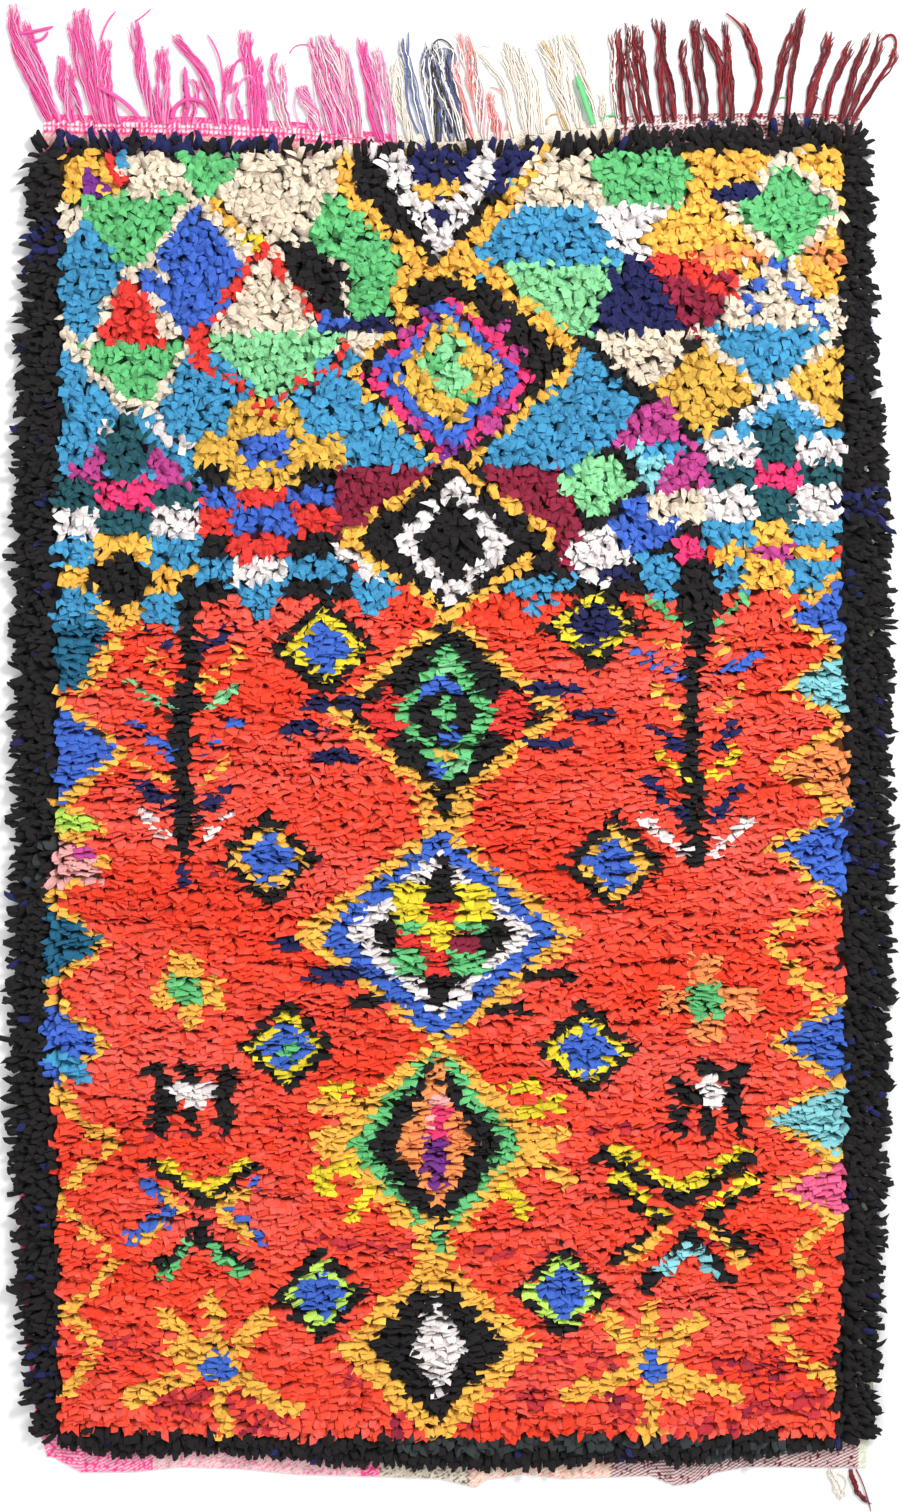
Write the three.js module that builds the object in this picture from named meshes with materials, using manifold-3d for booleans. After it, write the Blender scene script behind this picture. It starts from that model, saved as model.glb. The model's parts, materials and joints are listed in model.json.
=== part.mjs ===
// Boucherouite rug: a rag pile knotted on a woven ground, with its warp ends left as a fringe.
// Millimetres, +Z up. X runs across the rug and +Y up the rug, to the fringed end.
// The tables give places from the middle of the pile. The finished group is then moved so that
// the middle of its box's underside lies at the origin.

import * as THREE from "three";
import { mergeVertices } from "three/addons/utils/BufferGeometryUtils.js";
import Module from "manifold-3d";

const wasm = await Module();
wasm.setup();

// Driving dimensions
const WEAVE_THICK = 2.7;
const SEAT_GAP = 0.3;
const PILE_UNDERSIDE = WEAVE_THICK + SEAT_GAP;
const PILE_TOP = 23;
const PILE_RIM_TOP = 15;
const LUMP_HEIGHT = 4.5;
const LUMP_LENGTH = 88;
const LUMP_WAVES = [
  { across: 0.21, along: 0.92, phase: 0 },
  { across: -0.74, along: 0.31, phase: 1.3 },
  { across: 0.63, along: 0.58, phase: 2.1 },
];
const TUFT_ROUGHNESS = 2.2;
const RIM_INSET = 13;
const PILE_COLUMNS = 42;
const PILE_ROWS = 66;

// Locks of rag that stand out from the pile's rim
const RIM_LOCKS = 184;
const LOCK_REACH = 23;
const LOCK_REACH_SPREAD = 8;
const LOCK_TIP_THICK = 5;
const LOCK_TIP_LIFT = 4;
const LOCK_TIP_WIDTH_SHARE = 0.6;
const LOCK_SKEW_SHARE = 0.09;

// Strands of the fringe
const STRAND_WIDTH = 5.6;
const STRAND_GAP = 0.9;
const STRAND_HEIGHT = 5.2;
const STRAND_TOP_SHARE = 0.55;
const STRAND_TIP_SHARE = 0.55;
const STRAND_ROOT_DEPTH = 8;
const STRAND_STEPS = 5;
const STRAND_LENGTH_SPREAD = 0.06;
const MERGE_WITHIN = 1e-4;

// Left and right edge of the pile, up its length
const PILE_SIDES = [
  { at: -1034, left: -658, right: 667 },
  { at: -800, left: -682, right: 676 },
  { at: -480, left: -696, right: 688 },
  { at: -160, left: -690, right: 691 },
  { at: 160, left: -686, right: 694 },
  { at: 480, left: -686, right: 686 },
  { at: 800, left: -674, right: 664 },
  { at: 1056, left: -661, right: 658 },
];

// Lower and upper edge of the pile, across its width
const PILE_ENDS = [
  { at: -658, lower: -1026, upper: 1056 },
  { at: -530, lower: -1048, upper: 1054 },
  { at: -402, lower: -1042, upper: 1051 },
  { at: -210, lower: -1062, upper: 1040 },
  { at: 0, lower: -1067, upper: 1038 },
  { at: 206, lower: -1062, upper: 1046 },
  { at: 398, lower: -1058, upper: 1068 },
  { at: 558, lower: -1042, upper: 1075 },
  { at: 660, lower: -1034, upper: 1071 },
];

// Left and right selvedge of the ground weave, up its length
const WEAVE_SIDES = [
  { at: -1048, left: -646, right: 664 },
  { at: -960, left: -674, right: 676 },
  { at: -800, left: -686, right: 685 },
  { at: -688, left: -690, right: 686 },
  { at: -480, left: -692, right: 684 },
  { at: 160, left: -670, right: 680 },
  { at: 800, left: -658, right: 654 },
  { at: 1046, left: -650, right: 651 },
];

// Lower end of the ground weave, which lies in shallow waves
const WEAVE_LOWER_END = [
  { at: -646, lower: -1050 },
  { at: -600, lower: -1075 },
  { at: -515, lower: -1074 },
  { at: -440, lower: -1066 },
  { at: -346, lower: -1069 },
  { at: -253, lower: -1078 },
  { at: -117, lower: -1082 },
  { at: -27, lower: -1085 },
  { at: 30, lower: -1099 },
  { at: 50, lower: -1086 },
  { at: 109, lower: -1078 },
  { at: 170, lower: -1085 },
  { at: 310, lower: -1080 },
  { at: 349, lower: -1096 },
  { at: 381, lower: -1091 },
  { at: 414, lower: -1075 },
  { at: 466, lower: -1066 },
  { at: 522, lower: -1066 },
  { at: 584, lower: -1074 },
];

// The end band: where the cloth is parted from it, and where its strands leave it
const END_BAND = [
  { at: -651, parted: 1046, edge: 1098 },
  { at: -560, parted: 1044, edge: 1094 },
  { at: -402, parted: 1041, edge: 1092 },
  { at: -242, parted: 1032, edge: 1084 },
  { at: -86, parted: 1027, edge: 1063 },
  { at: 80, parted: 1028, edge: 1068 },
  { at: 174, parted: 1032, edge: 1082 },
  { at: 264, parted: 1040, edge: 1092 },
  { at: 398, parted: 1058, edge: 1098 },
  { at: 558, parted: 1065, edge: 1099 },
  { at: 655, parted: 1061, edge: 1094 },
];

// Where the band starts and ends, and where its warps change colour
const BAND_LEFT = END_BAND[0].at;
const BAND_RIGHT = END_BAND[END_BAND.length - 1].at;
const PINK_TO_NATURAL = -86;
const NATURAL_TO_MAROON = 262;

// The corner tab at the lower right, parted from the cloth too
const CORNER_TAB = { left: 584, right: 657, parted: -1068, edge: -1082 };

// Tassels: where each is rooted, where it runs at a third and two thirds of its reach, its tip,
// the reach and the width
const PINK_TASSELS = [
  { root: -644, third: -668, twoThirds: -690, tip: -699, reach: 170, width: 14 },
  { root: -628, third: -646, twoThirds: -662, tip: -681, reach: 146, width: 9 },
  { root: -606, third: -616, twoThirds: -621, tip: -622, reach: 92, width: 12 },
  { root: -587, third: -597, twoThirds: -604, tip: -608, reach: 80, width: 6 },
  { root: -566, third: -584, twoThirds: -600, tip: -611, reach: 146, width: 6 },
  { root: -552, third: -566, twoThirds: -580, tip: -592, reach: 169, width: 18 },
  { root: -533, third: -549, twoThirds: -554, tip: -553, reach: 120, width: 13 },
  { root: -469, third: -486, twoThirds: -499, tip: -504, reach: 150, width: 13 },
  { root: -456, third: -460, twoThirds: -462, tip: -461, reach: 112, width: 16 },
  { root: -426, third: -424, twoThirds: -424, tip: -425, reach: 72, width: 8 },
  { root: -416, third: -411, twoThirds: -408, tip: -412, reach: 60, width: 6 },
  { root: -376, third: -384, twoThirds: -405, tip: -440, reach: 130, width: 12 },
  { root: -356, third: -362, twoThirds: -363, tip: -352, reach: 84, width: 6 },
  { root: -333, third: -338, twoThirds: -344, tip: -346, reach: 58, width: 6 },
  { root: -314, third: -316, twoThirds: -321, tip: -328, reach: 140, width: 18 },
  { root: -293, third: -300, twoThirds: -306, tip: -309, reach: 100, width: 8 },
  { root: -269, third: -280, twoThirds: -284, tip: -280, reach: 106, width: 8 },
  { root: -257, third: -264, twoThirds: -268, tip: -269, reach: 94, width: 7 },
  { root: -219, third: -222, twoThirds: -227, tip: -230, reach: 50, width: 18 },
  { root: -193, third: -200, twoThirds: -208, tip: -212, reach: 110, width: 8 },
  { root: -178, third: -185, twoThirds: -193, tip: -198, reach: 138, width: 8 },
  { root: -162, third: -168, twoThirds: -176, tip: -181, reach: 136, width: 8 },
  { root: -149, third: -155, twoThirds: -161, tip: -165, reach: 112, width: 8 },
  { root: -136, third: -143, twoThirds: -150, tip: -154, reach: 86, width: 6 },
  { root: -112, third: -122, twoThirds: -132, tip: -142, reach: 150, width: 19 },
  { root: -94, third: -100, twoThirds: -110, tip: -121, reach: 140, width: 7 },
];

const NATURAL_TASSELS = [
  { root: -58, third: -72, twoThirds: -82, tip: -87, reach: 126, width: 9 },
  { root: -36, third: -52, twoThirds: -64, tip: -74, reach: 152, width: 8 },
  { root: -18, third: -27, twoThirds: -36, tip: -43, reach: 132, width: 13 },
  { root: 0, third: -8, twoThirds: -19, tip: -27, reach: 142, width: 13 },
  { root: 15, third: 7, twoThirds: -2, tip: -11, reach: 134, width: 9 },
  { root: 31, third: 22, twoThirds: 12, tip: 7, reach: 104, width: 8 },
  { root: 56, third: 47, twoThirds: 33, tip: 18, reach: 156, width: 13 },
  { root: 80, third: 76, twoThirds: 68, tip: 60, reach: 60, width: 7 },
  { root: 99, third: 93, twoThirds: 80, tip: 44, reach: 124, width: 6 },
  { root: 123, third: 117, twoThirds: 109, tip: 90, reach: 132, width: 13 },
  { root: 144, third: 135, twoThirds: 126, tip: 107, reach: 120, width: 12 },
  { root: 184, third: 174, twoThirds: 160, tip: 146, reach: 126, width: 13 },
  { root: 208, third: 193, twoThirds: 179, tip: 168, reach: 138, width: 12 },
  { root: 229, third: 218, twoThirds: 205, tip: 192, reach: 138, width: 9 },
  { root: 245, third: 244, twoThirds: 243, tip: 243, reach: 34, width: 9 },
];

const MAROON_TASSELS = [
  { root: 268, third: 262, twoThirds: 260, tip: 259, reach: 130, width: 6 },
  { root: 277, third: 272, twoThirds: 270, tip: 270, reach: 138, width: 8 },
  { root: 298, third: 291, twoThirds: 288, tip: 284, reach: 146, width: 13 },
  { root: 319, third: 308, twoThirds: 302, tip: 299, reach: 142, width: 12 },
  { root: 344, third: 336, twoThirds: 332, tip: 327, reach: 150, width: 9 },
  { root: 357, third: 350, twoThirds: 343, tip: 340, reach: 146, width: 9 },
  { root: 385, third: 379, twoThirds: 371, tip: 373, reach: 120, width: 8 },
  { root: 406, third: 401, twoThirds: 394, tip: 392, reach: 146, width: 13 },
  { root: 434, third: 433, twoThirds: 426, tip: 404, reach: 134, width: 8 },
  { root: 449, third: 446, twoThirds: 441, tip: 438, reach: 144, width: 9 },
  { root: 477, third: 492, twoThirds: 488, tip: 462, reach: 140, width: 8 },
  { root: 509, third: 520, twoThirds: 533, tip: 549, reach: 140, width: 9 },
  { root: 536, third: 542, twoThirds: 549, tip: 563, reach: 162, width: 9 },
  { root: 570, third: 579, twoThirds: 591, tip: 608, reach: 128, width: 12 },
  { root: 597, third: 604, twoThirds: 620, tip: 645, reach: 116, width: 9 },
  { root: 622, third: 635, twoThirds: 650, tip: 668, reach: 130, width: 9 },
  { root: 632, third: 651, twoThirds: 672, tip: 690, reach: 128, width: 7 },
  { root: 641, third: 665, twoThirds: 694, tip: 712, reach: 112, width: 7 },
];

const CORNER_TASSELS = [
  { root: 606, third: 612, twoThirds: 618, tip: 620, reach: 34, width: 9 },
  { root: 640, third: 644, twoThirds: 650, tip: 664, reach: 42, width: 6 },
];

// Seeded numbers, so that the rug comes out the same each time
function seededNumbers(seed) {
  let state = seed;
  return () => {
    state = (state + 0x6d2b79f5) | 0;
    let mixed = Math.imul(state ^ (state >>> 15), 1 | state);
    mixed = (mixed + Math.imul(mixed ^ (mixed >>> 7), 61 | mixed)) ^ mixed;
    return ((mixed ^ (mixed >>> 14)) >>> 0) / 4294967296;
  };
}

// The value of a column between the rows of a table
function between(rows, column, at) {
  const last = rows.length - 1;
  const place = THREE.MathUtils.clamp(at, rows[0].at, rows[last].at);
  const next = Math.max(1, rows.findIndex((row) => row.at >= place));
  const a = rows[next - 1];
  const b = rows[next];
  return THREE.MathUtils.mapLinear(place, a.at, b.at, a[column], b[column]);
}

// Soft lumps: a few waves that cross at odd angles
function lumpAt(x, y) {
  const turn = (Math.PI * 2) / LUMP_LENGTH;
  const waves = LUMP_WAVES.map(({ across, along, phase }) =>
    Math.sin(turn * (across * x + along * y) + phase),
  );
  return (LUMP_HEIGHT * waves.reduce((sum, wave) => sum + wave)) / LUMP_WAVES.length;
}

function meshOf(name, geometry, color, roughness) {
  const material = new THREE.MeshStandardMaterial({ color, roughness, metalness: 0 });
  geometry.computeVertexNormals();
  const mesh = new THREE.Mesh(geometry, material);
  mesh.name = name;
  return mesh;
}

// Points and faces gathered into one closed surface
class Surface {
  constructor() {
    this.points = [];
    this.faces = [];
  }

  point(x, y, z) {
    this.points.push(x, y, z);
    return this.points.length / 3 - 1;
  }

  triangle(a, b, c) {
    this.faces.push(a, b, c);
  }

  quad(a, b, c, d) {
    this.triangle(a, b, c);
    this.triangle(a, c, d);
  }

  geometry() {
    return new THREE.BufferGeometry()
      .setAttribute("position", new THREE.Float32BufferAttribute(this.points, 3))
      .setIndex(this.faces);
  }
}

// The pile: a lumpy slab whose rim carries blunt locks
function pileGeometry() {
  const random = seededNumbers(11);
  const surface = new Surface();
  const low = PILE_SIDES[0].at;
  const high = PILE_SIDES[PILE_SIDES.length - 1].at;
  const place = (column, row) => {
    const up = row / PILE_ROWS;
    const nominal = THREE.MathUtils.lerp(low, high, up);
    const left = between(PILE_SIDES, "left", nominal) + RIM_INSET;
    const right = between(PILE_SIDES, "right", nominal) - RIM_INSET;
    const x = THREE.MathUtils.lerp(left, right, column / PILE_COLUMNS);
    const lower = between(PILE_ENDS, "lower", x) + RIM_INSET;
    const upper = between(PILE_ENDS, "upper", x) - RIM_INSET;
    return { x, y: THREE.MathUtils.lerp(lower, upper, up) };
  };
  const top = [];
  for (let row = 0; row <= PILE_ROWS; row++) {
    for (let column = 0; column <= PILE_COLUMNS; column++) {
      const { x, y } = place(column, row);
      const rim = row === 0 || row === PILE_ROWS || column === 0 || column === PILE_COLUMNS;
      const height = rim ? PILE_RIM_TOP : PILE_TOP + lumpAt(x, y);
      top.push(surface.point(x, y, height + TUFT_ROUGHNESS * (2 * random() - 1)));
    }
  }
  const topAt = (column, row) => top[row * (PILE_COLUMNS + 1) + column];
  for (let row = 0; row < PILE_ROWS; row++) {
    for (let column = 0; column < PILE_COLUMNS; column++) {
      const corners = [
        topAt(column, row),
        topAt(column + 1, row),
        topAt(column + 1, row + 1),
        topAt(column, row + 1),
      ];
      surface.quad(...corners);
    }
  }

  // The rim runs anticlockwise, seen from above
  const rim = [];
  for (let column = 0; column < PILE_COLUMNS; column++) rim.push(topAt(column, 0));
  for (let row = 0; row < PILE_ROWS; row++) rim.push(topAt(PILE_COLUMNS, row));
  for (let column = PILE_COLUMNS; column > 0; column--) rim.push(topAt(column, PILE_ROWS));
  for (let row = PILE_ROWS; row > 0; row--) rim.push(topAt(0, row));
  const flat = rim.map((index) => {
    const [x, y] = surface.points.slice(index * 3, index * 3 + 2);
    return new THREE.Vector2(x, y);
  });
  const under = flat.map((p) => surface.point(p.x, p.y, PILE_UNDERSIDE));
  for (const [a, b, c] of THREE.ShapeUtils.triangulateShape(flat, [])) {
    surface.triangle(under[c], under[b], under[a]);
  }
  let locks = 0;
  rim.forEach((_, index) => {
    const next = (index + 1) % rim.length;
    const due = ((index + 1) * RIM_LOCKS) / rim.length;
    const corners = [under[index], under[next], rim[next], rim[index]];
    if (locks + 1 > due) {
      surface.quad(...corners);
      return;
    }
    locks += 1;
    addLock(surface, flat[index], flat[next], corners, random);
  });
  return surface.geometry();
}

// A lock stands out from the wall between two rim points and droops to a blunt end
function addLock(surface, from, to, corners, random) {
  const [lowLeft, lowRight, highRight, highLeft] = corners;
  const along = to.clone().sub(from);
  const outward = new THREE.Vector2(along.y, -along.x).normalize();
  const reach = LOCK_REACH + LOCK_REACH_SPREAD * (2 * random() - 1);
  const skew = LOCK_SKEW_SHARE * (2 * random() - 1);
  const tip = from.clone().lerp(to, 0.5 + skew).addScaledVector(outward, reach);
  const half = along.clone().multiplyScalar(LOCK_TIP_WIDTH_SHARE / 2);
  const foot = PILE_UNDERSIDE + LOCK_TIP_LIFT * random();
  const tipPoint = (side, z) => surface.point(tip.x + side * half.x, tip.y + side * half.y, z);
  const tipLowLeft = tipPoint(-1, foot);
  const tipLowRight = tipPoint(1, foot);
  const tipHighRight = tipPoint(1, foot + LOCK_TIP_THICK);
  const tipHighLeft = tipPoint(-1, foot + LOCK_TIP_THICK);
  surface.quad(lowLeft, lowRight, tipLowRight, tipLowLeft);
  surface.quad(lowRight, highRight, tipHighRight, tipLowRight);
  surface.quad(highRight, highLeft, tipHighLeft, tipHighRight);
  surface.quad(highLeft, lowLeft, tipLowLeft, tipHighLeft);
  surface.quad(tipLowLeft, tipLowRight, tipHighRight, tipHighLeft);
}

// A flat sheet of the weave's thickness, lying on the floor
function sheetGeometry(outline) {
  const shape = new THREE.Shape(outline);
  return new THREE.ExtrudeGeometry(shape, {
    depth: WEAVE_THICK,
    bevelEnabled: false,
    curveSegments: 1,
  });
}

// The ground weave: anticlockwise from its lower left corner
function weaveGeometry() {
  const outline = WEAVE_LOWER_END.map((row) => new THREE.Vector2(row.at, row.lower));
  outline.push(new THREE.Vector2(CORNER_TAB.left, CORNER_TAB.parted));
  outline.push(new THREE.Vector2(CORNER_TAB.right, CORNER_TAB.parted));
  for (const row of WEAVE_SIDES) outline.push(new THREE.Vector2(row.right, row.at));
  for (const row of END_BAND.slice(1, -1).reverse()) {
    outline.push(new THREE.Vector2(row.at, row.parted));
  }
  for (const row of WEAVE_SIDES.slice(1).reverse()) {
    outline.push(new THREE.Vector2(row.left, row.at));
  }
  return sheetGeometry(outline);
}

// A strand lies level on the floor: a four-sided length that narrows to its tip
function strandGeometry(path, width) {
  const surface = new Surface();
  const curve = new THREE.SplineCurve(path);
  const rings = [];
  for (let step = 0; step <= STRAND_STEPS; step++) {
    const share = step / STRAND_STEPS;
    const middle = curve.getPoint(share);
    const heading = curve.getTangent(share);
    const side = new THREE.Vector2(heading.y, -heading.x);
    const size = THREE.MathUtils.lerp(1, STRAND_TIP_SHARE, share ** 3);
    const half = (width * size) / 2;
    const height = STRAND_HEIGHT * size;
    const corner = (offset, z) =>
      surface.point(middle.x + side.x * offset, middle.y + side.y * offset, z);
    rings.push([
      corner(-half, 0),
      corner(half, 0),
      corner(half * STRAND_TOP_SHARE, height),
      corner(-half * STRAND_TOP_SHARE, height),
    ]);
  }
  for (let step = 0; step < STRAND_STEPS; step++) {
    for (let edge = 0; edge < 4; edge++) {
      const next = (edge + 1) % 4;
      const [a, b] = [rings[step], rings[step + 1]];
      surface.quad(a[next], a[edge], b[edge], b[next]);
    }
  }
  const [first, last] = [rings[0], rings[STRAND_STEPS]];
  surface.quad(...first);
  surface.quad(...last.reverse());
  return surface.geometry();
}

// The strands of one tassel, side by side, as a list of geometries
function tasselStrands(tassel, edge, direction, random) {
  const pitch = STRAND_WIDTH + STRAND_GAP;
  const count = Math.max(1, Math.round(tassel.width / pitch));
  const width = Math.min(STRAND_WIDTH, tassel.width / count);
  const strands = [];
  for (let index = 0; index < count; index++) {
    const offset = (index - (count - 1) / 2) * pitch;
    const reach = tassel.reach * (1 - STRAND_LENGTH_SPREAD * random() * (count > 1 ? 1 : 0));
    const at = (x, share) => new THREE.Vector2(x + offset, edge + direction * reach * share);
    const root = new THREE.Vector2(tassel.root + offset, edge - direction * STRAND_ROOT_DEPTH);
    const path = [root, at(tassel.third, 1 / 3), at(tassel.twoThirds, 2 / 3), at(tassel.tip, 1)];
    strands.push(strandGeometry(path, width));
  }
  return strands;
}

function solidOf(geometry) {
  const bare = geometry.clone();
  bare.deleteAttribute("normal");
  bare.deleteAttribute("uv");
  const merged = mergeVertices(bare, MERGE_WITHIN);
  return new wasm.Manifold(
    new wasm.Mesh({
      numProp: 3,
      vertProperties: new Float32Array(merged.attributes.position.array),
      triVerts: new Uint32Array(merged.index.array),
    }),
  );
}

function geometryOf(solid) {
  const mesh = solid.getMesh();
  return new THREE.BufferGeometry()
    .setAttribute("position", new THREE.Float32BufferAttribute(mesh.vertProperties, 3))
    .setIndex(Array.from(mesh.triVerts));
}

// A strip of the end band with its strands fused to it
function fringeGeometry(outline, tassels, edgeAt, direction, seed) {
  const random = seededNumbers(seed);
  let solid = solidOf(sheetGeometry(outline));
  for (const tassel of tassels) {
    for (const strand of tasselStrands(tassel, edgeAt(tassel.root), direction, random)) {
      solid = solid.add(solidOf(strand));
    }
  }
  return geometryOf(solid);
}

// A strip of the end band between two places across the rug
function bandOutline(left, right) {
  const stations = END_BAND.map((row) => row.at).filter((at) => at > left && at < right);
  const along = [left, ...stations, right];
  const lower = along.map((x) => new THREE.Vector2(x, between(END_BAND, "parted", x) + SEAT_GAP));
  const upper = along.map((x) => new THREE.Vector2(x, between(END_BAND, "edge", x)));
  return [...lower, ...upper.reverse()];
}

function endFringe(left, right, tassels, seed) {
  const edgeAt = (x) => between(END_BAND, "edge", x);
  return fringeGeometry(bandOutline(left, right), tassels, edgeAt, 1, seed);
}

function cornerFringe() {
  const { left, right, parted, edge } = CORNER_TAB;
  const top = parted - SEAT_GAP;
  const outline = [
    new THREE.Vector2(left, top),
    new THREE.Vector2(left, edge),
    new THREE.Vector2(right, edge),
    new THREE.Vector2(right, top),
  ];
  return fringeGeometry(outline, CORNER_TASSELS, () => edge, -1, 41);
}

const rug = new THREE.Group();
rug.add(meshOf("ground_weave", weaveGeometry(), 0xd9cbb4, 0.95));
rug.add(meshOf("pile", pileGeometry(), 0xf05a46, 0.9));
rug.add(
  meshOf(
    "fringe_pink",
    endFringe(BAND_LEFT, PINK_TO_NATURAL - SEAT_GAP, PINK_TASSELS, 21),
    0xff4696,
    0.85,
  ),
);
rug.add(
  meshOf(
    "fringe_natural",
    endFringe(PINK_TO_NATURAL, NATURAL_TO_MAROON - SEAT_GAP, NATURAL_TASSELS, 22),
    0xebdcc8,
    0.9,
  ),
);
rug.add(
  meshOf(
    "fringe_maroon",
    endFringe(NATURAL_TO_MAROON, BAND_RIGHT, MAROON_TASSELS, 23),
    0x781423,
    0.85,
  ),
);
rug.add(meshOf("fringe_corner", cornerFringe(), 0xc9a9a0, 0.9));

// The middle of the underside goes to the origin
const box = new THREE.Box3().setFromObject(rug, true);
const middle = box.getCenter(new THREE.Vector3());
rug.position.set(-middle.x, -middle.y, -box.min.z);

export default rug;
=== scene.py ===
import json
import math

import bmesh
import bpy
import numpy as np
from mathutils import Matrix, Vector

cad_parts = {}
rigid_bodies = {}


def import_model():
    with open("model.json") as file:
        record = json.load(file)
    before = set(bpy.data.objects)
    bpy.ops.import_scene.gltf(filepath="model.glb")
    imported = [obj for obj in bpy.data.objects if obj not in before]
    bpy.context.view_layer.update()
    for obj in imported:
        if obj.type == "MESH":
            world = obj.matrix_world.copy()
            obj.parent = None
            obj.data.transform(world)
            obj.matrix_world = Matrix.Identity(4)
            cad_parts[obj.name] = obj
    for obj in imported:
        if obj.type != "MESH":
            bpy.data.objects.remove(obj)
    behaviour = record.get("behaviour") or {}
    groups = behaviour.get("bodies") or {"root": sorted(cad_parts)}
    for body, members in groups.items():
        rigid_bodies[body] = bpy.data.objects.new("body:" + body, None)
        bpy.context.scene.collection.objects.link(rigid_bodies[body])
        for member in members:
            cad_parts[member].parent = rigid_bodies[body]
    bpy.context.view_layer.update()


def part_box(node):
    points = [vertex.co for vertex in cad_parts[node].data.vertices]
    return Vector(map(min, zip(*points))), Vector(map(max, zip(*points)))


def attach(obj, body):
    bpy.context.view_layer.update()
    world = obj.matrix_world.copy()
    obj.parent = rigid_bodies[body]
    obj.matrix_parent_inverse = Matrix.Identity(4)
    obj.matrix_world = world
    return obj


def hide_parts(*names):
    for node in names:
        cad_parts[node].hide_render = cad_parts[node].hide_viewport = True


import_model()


# The rug lies flat on a pale studio floor, under a soft key light from the upper right. It is
# seen from straight above, with its fringed end at the top. Places are worked out from the
# middle of its pile, which the ground weave's box gives.
WEAVE_LEFT = 0.692
WEAVE_TOP = 1.065
weave_low, weave_high = (np.array(corner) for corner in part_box("ground_weave"))
MIDDLE_X = weave_low[0] + WEAVE_LEFT
MIDDLE_Y = weave_high[1] - WEAVE_TOP

VIEW_HEIGHT = 2.4192
VIEW_RISE = 0.0704
LENS_MM = 85
SENSOR_MM = 36
SKY_COLOUR = (1, 1, 1, 1)
SKY_STRENGTH = 0.78
FLOOR_REACH = 6
FLOOR_COLOUR = (0.93, 0.93, 0.93, 1)
FLOOR_ROUGHNESS = 0.9

# name, place, size in metres and power in watts of each lamp
STUDIO_LIGHTS = [("key", (2.6, 2.8, 3.6), 1.6, 210), ("fill", (-3.0, -2.0, 4.0), 3.5, 40)]


def set_inputs(tree, node, inputs):
    """Sets each input of a node to a value, or joins it to another node's output"""
    for name, value in inputs.items():
        if isinstance(value, bpy.types.NodeSocket):
            tree.links.new(value, node.inputs[name])
        else:
            node.inputs[name].default_value = value
    return node


def put_in_scene(name, data):
    thing = bpy.data.objects.new(name, data)
    bpy.context.scene.collection.objects.link(thing)
    return thing


camera = put_in_scene("camera", bpy.data.cameras.new("camera"))
camera.data.lens = LENS_MM
camera.data.sensor_width = SENSOR_MM
camera.location = (MIDDLE_X, MIDDLE_Y + VIEW_RISE, VIEW_HEIGHT * LENS_MM / SENSOR_MM)
bpy.context.scene.camera = camera
bpy.context.scene.view_settings.view_transform = "Standard"

for name, place, size, power in STUDIO_LIGHTS:
    lamp = bpy.data.lights.new(name, "AREA")
    lamp.shape = "DISK"
    lamp.size = size
    lamp.energy = power
    light = put_in_scene(name, lamp)
    light.location = place
    to_rug = Vector((MIDDLE_X, MIDDLE_Y, 0)) - Vector(place)
    light.rotation_euler = to_rug.to_track_quat("-Z", "Y").to_euler()

world = bpy.data.worlds.new("studio")
world.use_nodes = True
background = world.node_tree.nodes["Background"]
set_inputs(world.node_tree, background, {"Color": SKY_COLOUR, "Strength": SKY_STRENGTH})
bpy.context.scene.world = world

floor_mesh = bpy.data.meshes.new("floor")
floor_corners = [(x * FLOOR_REACH, y * FLOOR_REACH, 0) for x, y in ((-1, -1), (1, -1), (1, 1), (-1, 1))]
floor_mesh.from_pydata(floor_corners, [], [(0, 1, 2, 3)])
paint = bpy.data.materials.new("floor_paint")
paint.use_nodes = True
coat = paint.node_tree.nodes["Principled BSDF"]
set_inputs(paint.node_tree, coat, {"Base Color": FLOOR_COLOUR, "Roughness": FLOOR_ROUGHNESS})
floor_mesh.materials.append(paint)
floor = put_in_scene("floor", floor_mesh)


# The ground weave is a flat cotton and wool cloth. It carries the knots, and shows below the
# pile as a wavy end band whose warps change from pink to cream to maroon, and as a pale
# selvedge at the right side.
MM = 0.001
WEAVE_THICK = 2.7 * MM
WEAVE_WIDTH = 1.31
WEAVE_COLUMNS = 470
WEAVE_ROWS = 14
END_ROWS = 20
END_DEPTH = 50 * MM
WEFT_PITCH = 4.6 * MM
WEFT_RELIEF = 0.45 * MM

# at, left, right: the selvedges up the cloth's length, in millimetres from the pile's middle
WEAVE_SIDES = np.array([
    (-1048, -646, 664), (-960, -674, 676), (-800, -686, 685), (-688, -690, 686),
    (-480, -692, 684), (160, -670, 680), (800, -658, 654), (1046, -650, 651),
]) * MM

# at, lower: the wavy lower end, across the cloth
WEAVE_LOWER_END = np.array([
    (-646, -1050), (-600, -1075), (-515, -1074), (-440, -1066), (-346, -1069), (-253, -1078),
    (-117, -1082), (-27, -1085), (30, -1099), (50, -1086), (109, -1078), (170, -1085),
    (310, -1080), (349, -1096), (381, -1091), (414, -1075), (466, -1066), (522, -1066),
    (583, -1067), (657, -1067),
]) * MM

# at, parted, edge: the upper end, where the cloth is parted from the end band
END_BAND = np.array([
    (-651, 1046, 1098), (-560, 1044, 1094), (-402, 1041, 1092), (-242, 1032, 1084),
    (-86, 1027, 1063), (80, 1028, 1068), (174, 1032, 1082), (264, 1040, 1092),
    (398, 1058, 1098), (558, 1065, 1099), (655, 1061, 1094),
]) * MM


def dye(red, green, blue):
    """A colour as it is seen, from 0 to 255, as linear light"""
    seen = np.array([red, green, blue]) / 255
    return np.where(seen > 0.04, ((seen + 0.055) / 1.055) ** 2.4, seen / 12.92)


def column(table, place, number):
    return np.interp(place, table[:, 0], table[:, number])


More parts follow.
